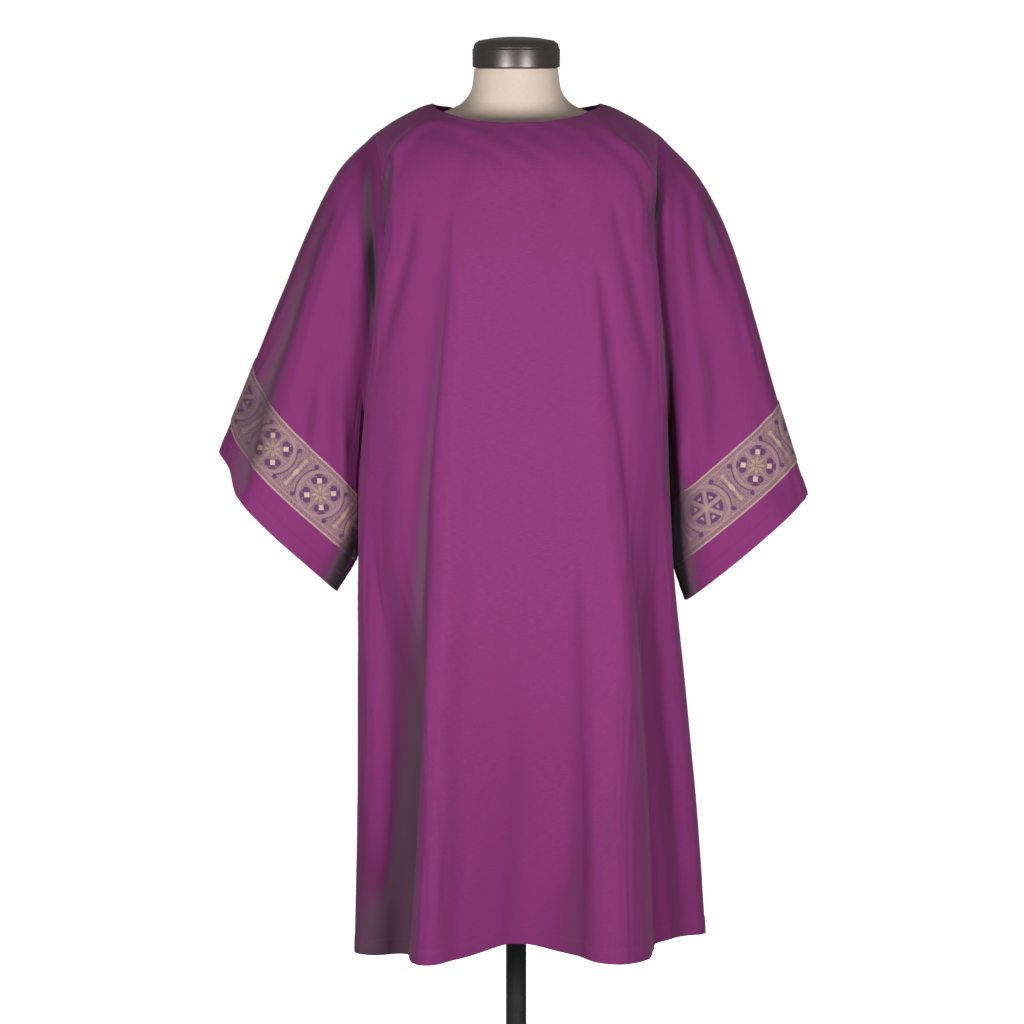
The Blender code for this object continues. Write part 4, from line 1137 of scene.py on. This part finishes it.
def band_material():
    """A woven band: roundels with a cross or a star, set between bars, inside dotted borders."""
    material, tree = start_material("band_brocade", 0.60, sheen=0.1, specular=0.3)
    along, y = cloth_place(tree)
    x = ((along / BAND_PITCH).math("FRACT") - 0.5) * BAND_PITCH
    radius = (x * x + y * y).root()
    across = y.size()
    is_star = reading(tree, "motif")

    # the cross, its arms turned by an eighth so that they point to the corners
    a, b = (x + y) * EIGHTH_TURN, (x - y) * EIGHTH_TURN
    major, minor = a.size().most(b.size()), a.size().least(b.size())
    squares = inside(box(major, minor, *SQUARE))
    hoods = inside(disc(major, minor, *LOBE_END).least(disc(major, minor, *LOBE_SIDE)))
    hoods = hoods * (1.0 - squares)
    notch = inside(disc(major, minor, *NOTCH))
    spokes = inside(box(x.size().most(across), x.size().least(across), *SPOKE))
    eight = (a.math("ARCTAN2", b) * 8.0).math("COSINE")
    rosette = inside(radius - ROSETTE_RADIUS - eight * ROSETTE_WAVE)
    veins = inside(0.75 + eight, 0.15) * near(radius, *VEINS)
    cross_violet = (hoods * (1.0 - notch)).most(near(radius, *EYE) * 0.7).most(veins * 0.55)

    # the star, six arms with a dark petal between each two
    turned_x, turned_y = x * SIXTH_TURN[0], y * SIXTH_TURN[1]
    from_arm = across.least((turned_x - turned_y).size()).least((turned_x + turned_y).size())
    arms = inside((from_arm - ARM_HALF - radius * ARM_WIDENING).most(radius - ARM_LENGTH))
    petals = near(radius, *PETALS) * (1.0 - inside(from_arm - PETAL_GAP))
    seeds = near(radius, *SEEDS) * inside(SEED_REACH - from_arm) * petals
    star_gold = inside(radius - STAR_EYE).most(seeds)
    star_violet = petals * (1.0 - seeds)

    def either(for_cross, for_star):
        return for_cross * (1.0 - is_star) + for_star * is_star

    # the rings, the arcs beside them that end in knobs, and the bars between
    ring = near(radius, *RING)
    arc = near(radius, *ARC) * inside(across - ARC_END)
    knob = inside(disc(x.size(), across, *KNOB))
    to_bar = (x.size() - BAND_PITCH / 2).size()
    bar = inside(box(to_bar, y, *BAR)).most(inside(disc(to_bar, across, *BAR_END)))
    lozenge = inside(to_bar + across * LOZENGE_LEAN - LOZENGE_HALF)
    flank = near(to_bar - across * FLANK_LEAN, *FLANK) * inside(across - FLANK_END)
    field = inside(across - BORDER_LINE[0])
    edge = near(across, *BORDER_EDGE)
    line = near(across, *BORDER_LINE)
    bead = near(across, *BORDER_BEADS) * along.sine(BAND_PITCH / BEADS).rise(0.0, 0.6)

    rose = ring.most(either(spokes, arms)).most(bar) * field
    gold = either(rosette, star_gold) * field
    bright = (squares * (1.0 - is_star)).most(lozenge * 0.6).most(bar * 0.3) * field
    violet = either(cross_violet, star_violet).most(arc).most(knob).most(flank * 0.9)
    violet = (violet * field * (1.0 - bar) * (1.0 - ring)).most(bead * 0.55)

    # threads: light floats across the band, violet binders between them
    weft, warp = along.sine(WEFT_PITCH).size(), y.sine(WARP_PITCH).size()
    fleck = noise(along * 560.0, y * 560.0, 2.0)
    sparkle = noise(along * 330.0, y * 700.0, 5.0)
    mesh = (weft * 0.55 + warp * 0.45).rise(0.25, 0.85)
    painted_shade = reading(tree, "painted_shade")
    tone = layered(
        blend(mesh * 0.45 + fleck.rise(0.36, 0.64) * 0.50, BAND_LOW, BAND_GROUND),
        (rose * 0.72, BAND_ROSE),
        (gold * 0.80, BAND_GOLD),
        (edge.most(line * 0.7) * 0.75, BAND_EDGE),
        (bright * 0.92, BAND_BRIGHT),
        (violet * 0.90, BAND_VIOLET),
        ((1.0 - sparkle.rise(0.30, 0.60)) * 0.36, BAND_LOW),
        # painted shade in the sleeve's creases and hollows, black where deepest
        (painted_shade.rise(0.0, 1.0) * 0.85, BAND_SHADE),
        (painted_shade.rise(0.9, 2.0) * 0.90, BLACK_SHADE),
    )
    metal = gold.most(bright) * (1.0 - violet)
    rough = 0.64 - metal * 0.14 + fleck * 0.06
    height = metal.most(rose * 0.7) * 0.00020 + (1.0 - violet) * 0.00008 + (weft + warp) * 0.00005
    return finished(material, {"Base Color": tone, "Metallic": metal * 0.20, "Roughness": rough},
                    height + fleck * 0.00006)


LINEN = (0.900, 0.735, 0.620)
LINEN_DARK = (0.740, 0.590, 0.470)
LINEN_YARN = 0.0007


def linen_material():
    """Bare linen: a coarse plain weave with darker slubs."""
    material, tree = start_material("form_linen", 0.88, sheen=0.05, specular=0.25)
    x, y = cloth_place(tree)
    yarns = plain_weave(x, y, LINEN_YARN)
    slub = noise(x * 60.0, y * 900.0, 0.0, detail=3.0, roughness=0.6)
    fleck = noise(x * 900.0, y * 60.0, 4.0, detail=3.0, roughness=0.6)
    broad = noise(x * 6.0, y * 6.0, 1.0)
    tone = layered(
        LINEN,
        (slub.rise(0.35, 0.75) * 0.45, LINEN_DARK),
        (fleck.rise(0.45, 0.8) * 0.40, LINEN_DARK),
        # painted shade between the yarns
        ((1.0 - yarns) * 0.25, LINEN_DARK),
        (broad.rise(0.3, 0.7) * 0.12, LINEN_DARK),
    )
    return finished(material, {"Base Color": tone}, yarns * 0.00008 + slub * 0.00006)


PEWTER = (0.150, 0.130, 0.128)
PEWTER_WORN = (0.230, 0.205, 0.200)


def pewter_material():
    """Dark metal, brushed round the cap."""
    material, tree = start_material("cap_metal", 0.34, metallic=1.0)
    x, y, z = object_place(tree)
    radius = (x * x + y * y).root()
    brushed = noise(radius * 4000.0, z * 2600.0, y * 3.0, detail=3.0, roughness=0.7)
    broad = noise(x * 30.0, y * 30.0, z * 30.0)
    tone = blend(brushed.rise(0.30, 0.75), PEWTER, PEWTER_WORN)
    rough = brushed * 0.16 + broad * 0.10 + 0.22
    return finished(material, {"Base Color": tone, "Roughness": rough}, brushed * 0.00004)


PAINT = (0.016, 0.016, 0.018)
PAINT_RUBBED = (0.045, 0.044, 0.046)


def paint_material():
    """Black paint with a faint orange peel, and dusty patches."""
    material, tree = start_material("stand_paint", 0.45)
    x, y, z = object_place(tree)
    orange_peel = noise(x * 320.0, y * 320.0, z * 320.0)
    dust = noise(x * 14.0, y * 14.0, z * 14.0, detail=5.0, roughness=0.65)
    tone = blend(dust.rise(0.45, 0.75) * 0.6, PAINT, PAINT_RUBBED)
    rough = dust.rise(0.35, 0.75) * 0.22 + 0.36
    return finished(material, {"Base Color": tone, "Roughness": rough}, orange_peel * 0.00012)


PAPER = (0.86, 0.86, 0.87)
PAPER_LIGHT = (0.89, 0.89, 0.895)
WALL = (0.9, 0.9, 0.9, 1.0)


def floor_material():
    material, tree = start_material("floor_paper", 0.9, specular=0.1)
    x, y, _ = object_place(tree)
    grain = noise(x * 3.0, y * 3.0, 0.0, detail=4.0)
    tone = blend(grain.rise(0.3, 0.7), PAPER, PAPER_LIGHT)
    return glowing(finished(material, {"Base Color": tone}), FLOOR_GLOW)


def wall_material():
    material, tree = start_material("backdrop_paper", 0.5)
    tree.nodes["Principled BSDF"].inputs["Base Color"].default_value = WALL
    return glowing(material, WALL_GLOW)


# ---- the pieces ---------------------------------------------------------------------------------
# more than any distance on the cloth: keeps a row of stitches away from where it isn't sewn
FAR = 9


def nearest_of(*signed):
    """Of several signed distances, the one nearest zero at each point."""
    stack = np.stack(np.broadcast_arrays(*signed))
    pick = np.abs(stack).argmin(axis=0)[None]
    return np.take_along_axis(stack, pick, axis=0)[0]


def turned_in(distance, width):
    """Extra thickness where an edge is turned in, and the distance from its row of stitches."""
    return HEM_EXTRA * ease((width - distance) / TURN_EDGE), distance - width + STITCH_INSET


def seam_dip(distance):
    return np.exp(-((distance / SEAM_REACH) ** 2))


def panel_finish(grid):
    """Extra thickness, seam dips and stitch rows of the front or the back."""
    across, down = travelled(grid, 1), travelled(grid, 0)
    side = np.minimum(across, across[:, -1:] - across)
    x, z = grid[..., 0], grid[..., 2]
    in_neck = (np.abs(x[:1]) < NECK_HALF_WIDTH * NECK_EDGE_SHARE) * np.ones_like(x)
    in_slit = (z < SLIT_HEIGHT).astype(float)
    at_hem, hem_row = turned_in(down[-1:] - down, HEM_TURN)
    at_neck, neck_row = turned_in(down, NECK_TURN)
    at_slit, slit_row = turned_in(side, SLIT_TURN)
    extra = np.maximum(np.maximum(at_hem, at_neck * in_neck), at_slit * in_slit)
    dip = np.maximum(seam_dip(side) * (1 - in_slit), seam_dip(down) * (1 - in_neck))
    stitch = nearest_of(hem_row, neck_row + FAR * (1 - in_neck), slit_row + FAR * (1 - in_slit))
    return extra, dip, stitch


def tube_finish(grid):
    """Extra thickness, seam dip and stitch row of a sleeve."""
    down = travelled(grid, 0)
    extra, stitch = turned_in(down[-1:] - down, HEM_TURN)
    return extra, seam_dip(down), stitch


# pattern units to a metre, and the pitches from the over-arm fold to the first roundel's middle
BAND_SCALE = 1.065
BAND_PHASE = {"right": 0.30, "left": 0.29}
# which roundels are stars, counted from the over-arm fold round the front
BAND_STARS = {"right": (1, 0, 0, 1, 0, 0), "left": (1, 0, 1, 0, 1, 0)}


def band_map(part, side):
    """Place on the band's pattern, square to its edges: along it from the over-arm, and across."""
    whole = closing(part)
    middle = whole[len(whole) // 2]
    run = travelled(middle[None], 1)[0]
    ahead = np.gradient(middle, axis=0)
    ahead /= np.linalg.norm(ahead, axis=-1, keepdims=True)
    lean = np.sum((whole - middle) * ahead, axis=-1)
    along = (run + lean) * BAND_SCALE
    if side == "left":
        along = run[-1] * BAND_SCALE - along
    along += (0.5 - BAND_PHASE[side]) * BAND_PITCH
    across = np.linspace(0.5, -0.5, len(part))[:, None] * BAND_WIDTH + 0 * along
    return np.stack([along, across], axis=-1), run[-1] * BAND_SCALE


def mark_motifs(band, side):
    """Marks each face with 1 where its roundel is a star."""
    data = band.data
    corners = np.zeros(len(data.loops) * 2, np.float32)
    data.uv_layers["cloth"].data.foreach_get("uv", corners)
    along = corners.reshape(-1, QUAD, 2)[:, :, 0].mean(axis=1)
    cell = np.floor(along / BAND_PITCH).astype(int)
    values = np.array(BAND_STARS[side])[cell % len(BAND_STARS[side])]
    attribute = data.attributes.new("motif", "FLOAT", "FACE")
    attribute.data.foreach_set("value", values.astype(np.float32))


def stands_for(made, node):
    """The object as the look of the CAD part's node."""
    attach(made, "root")
    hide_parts(node)
    return made


def make_cloth():
    cloth, brocade = cloth_material(), band_material()
    front, front_shade = panel(-1, FRONT_CREASES)
    back, back_shade = panel(1, BACK_CREASES)
    right, right_shade = sleeve(front, back, -1, RIGHT_SLEEVE_CREASES)
    left, left_shade = sleeve(front, back, 1, LEFT_SLEEVE_CREASES)
    grids = {"front": (front, front_shade, False), "back": (back, back_shade, False),
             "sleeve_right": (right, right_shade, True), "sleeve_left": (left, left_shade, True)}
    for name, (grid, shade, wrapped) in grids.items():
        normals = grid_normals(grid, wrapped)
        # painted shade: from each hollow's depth, and from the crease tables
        painted_shade = cavity_shade(grid, normals, wrapped) + shade
        extra, dip, stitch = (tube_finish if wrapped else panel_finish)(grid)
        whole = closing(grid) if wrapped else grid
        uv = np.stack([travelled(whole, 1), -travelled(whole, 0)], axis=-1)
        low = np.full(painted_shade.shape, -CLOTH / 2)
        high = CLOTH / 2 + extra - SEAM_DIP * dip
        marks = {"painted_shade": painted_shade, "stitch": stitch}
        piece = shell(f"{name}_cloth", grid, normals, low, high, wrapped, cloth, uv, marks)
        stands_for(piece, name)
    rows = slice(SLEEVE_ROWS, SLEEVE_ROWS + BAND_ROWS + 1)
    for side, grid, shade in (("right", right, right_shade), ("left", left, left_shade)):
        normals = grid_normals(grid, True)
        # the band takes the painted shade of the sleeve under it
        painted_shade = (cavity_shade(grid, normals, True) + shade)[rows]
        normals, part = normals[rows], grid[rows]
        low = np.full(painted_shade.shape, CLOTH / 2 + BAND_GAP)
        uv, ring = band_map(part, side)
        name = f"band_{side}"
        seam = (ARMHOLE_ROWS, -ring if side == "right" else ring)
        piece = shell(f"{name}_cloth", part, normals, low, low + BAND_CLOTH, True, brocade, uv,
                      {"painted_shade": painted_shade}, seam)
        mark_motifs(piece, side)
        stands_for(piece, name)


def make_form():
    turn = np.linspace(0, 2 * np.pi, FORM_POINTS, endpoint=False)
    read = smooth_table(FORM_SECTIONS)
    rings = []
    for height in np.linspace(FORM_SECTIONS[0][0], FORM_SECTIONS[-1][0], FORM_RINGS):
        half, front, back = read(np.array(height))
        rounder = float(ease((height - FORM_ROUND_HEIGHT) / FORM_ROUND_FADE))
        bend = FORM_SQUARENESS + (1 - FORM_SQUARENESS) * rounder
        across = signed_power(np.cos(turn), bend)
        deep = signed_power(np.sin(turn), bend)
        y = deep * np.where(deep < 0, front, back)
        rings.append(np.column_stack([half * across, y, np.full(FORM_POINTS, height)]))
    stands_for(lofted("form_body_linen", rings, linen_material()), "form_body")


def rounded(profile, reach):
    """The profile with its inner corners rounded, as rings' radii and heights."""
    points = [np.array(p) for p in profile]
    out = [points[0]]
    for before, here, after in zip(points, points[1:], points[2:]):
        one, two = before - here, after - here
        before_length, after_length = np.linalg.norm(one), np.linalg.norm(two)
        cut = min(reach, before_length / ROUND_SIDES, after_length / ROUND_SIDES)
        a = here + one / before_length * cut
        b = here + two / after_length * cut
        for t in np.linspace(0, 1, ROUND_STEPS):
            out.append((1 - t) ** 2 * a + 2 * t * (1 - t) * here + t**2 * b)
    out.append(points[-1])
    return out


def make_hardware():
    """The cap on the form's neck, the pole and the base."""
    side = [circle(r, z, CAP_POINTS) for r, z in rounded(CAP_PROFILE, CAP_ROUND)]
    side.append(circle(CAP_TOP_RADIUS, CAP_TOP, CAP_POINTS))
    stands_for(lofted("neck_cap_metal", side, pewter_material()), "neck_cap")
    paint = paint_material()
    ends = (POLE_BOTTOM, FORM_SECTIONS[0][0] - POLE_GAP)
    pole = lofted("pole_painted", [circle(POLE_RADIUS, z, POLE_POINTS) for z in ends], paint)
    stands_for(pole, "pole")
    side = [circle(r, z, BASE_POINTS) for r, z in rounded(BASE_PROFILE, BASE_ROUND)]
    stands_for(lofted("base_painted", side, paint), "base")


def make_backdrop():
    """A round floor of white paper and a wall round it, which light nothing but themselves."""
    count = FLOOR_POINTS
    ring = [(FLOOR_RADIUS * math.cos(a), FLOOR_RADIUS * math.sin(a), 0.0)
            for a in np.linspace(0, 2 * math.pi, count, endpoint=False)]
    wall = ring + [(x, y, WALL_HEIGHT) for x, y, _ in ring]
    sides = [(k, (k + 1) % count, (k + 1) % count + count, k + count) for k in range(count)]
    for name, points, faces, material in (
            ("floor", ring, [tuple(range(count))], floor_material()),
            ("backdrop", wall, sides, wall_material())):
        data = bpy.data.meshes.new(name)
        data.from_pydata(points, [], faces)
        data.materials.append(material)
        shown = placed(name, data)
        shown.visible_diffuse = shown.visible_glossy = shown.visible_shadow = False


def aimed(name, data, place, target):
    """An object at the place, looking at the target."""
    made = placed(name, data)
    made.location = place
    made.rotation_euler = (Vector(target) - Vector(place)).to_track_quat("-Z", "Y").to_euler()
    return made


def make_studio():
    """The backdrop, the lights and the camera."""
    make_backdrop()
    scene = bpy.context.scene
    scene.world = bpy.data.worlds.new("studio")
    scene.world.use_nodes = True
    sky = scene.world.node_tree.nodes["Background"]
    sky.inputs["Color"].default_value = WHITE
    sky.inputs["Strength"].default_value = FILL
    for name, place, size, power in LIGHTS:
        light = bpy.data.lights.new(name, "AREA")
        light.shape = "RECTANGLE"
        light.size, light.size_y = size
        light.energy = power
        aimed(name, light, place, (0, 0, place[2])).visible_camera = False
    camera = bpy.data.cameras.new("camera")
    camera.sensor_width = CAMERA_SENSOR
    camera.lens = CAMERA_LENS
    camera.clip_end = CAMERA_REACH
    scene.camera = aimed("camera", camera, CAMERA_PLACE, CAMERA_AIM)
    scene.view_settings.view_transform = "Standard"


make_cloth()
make_form()
make_hardware()
make_studio()
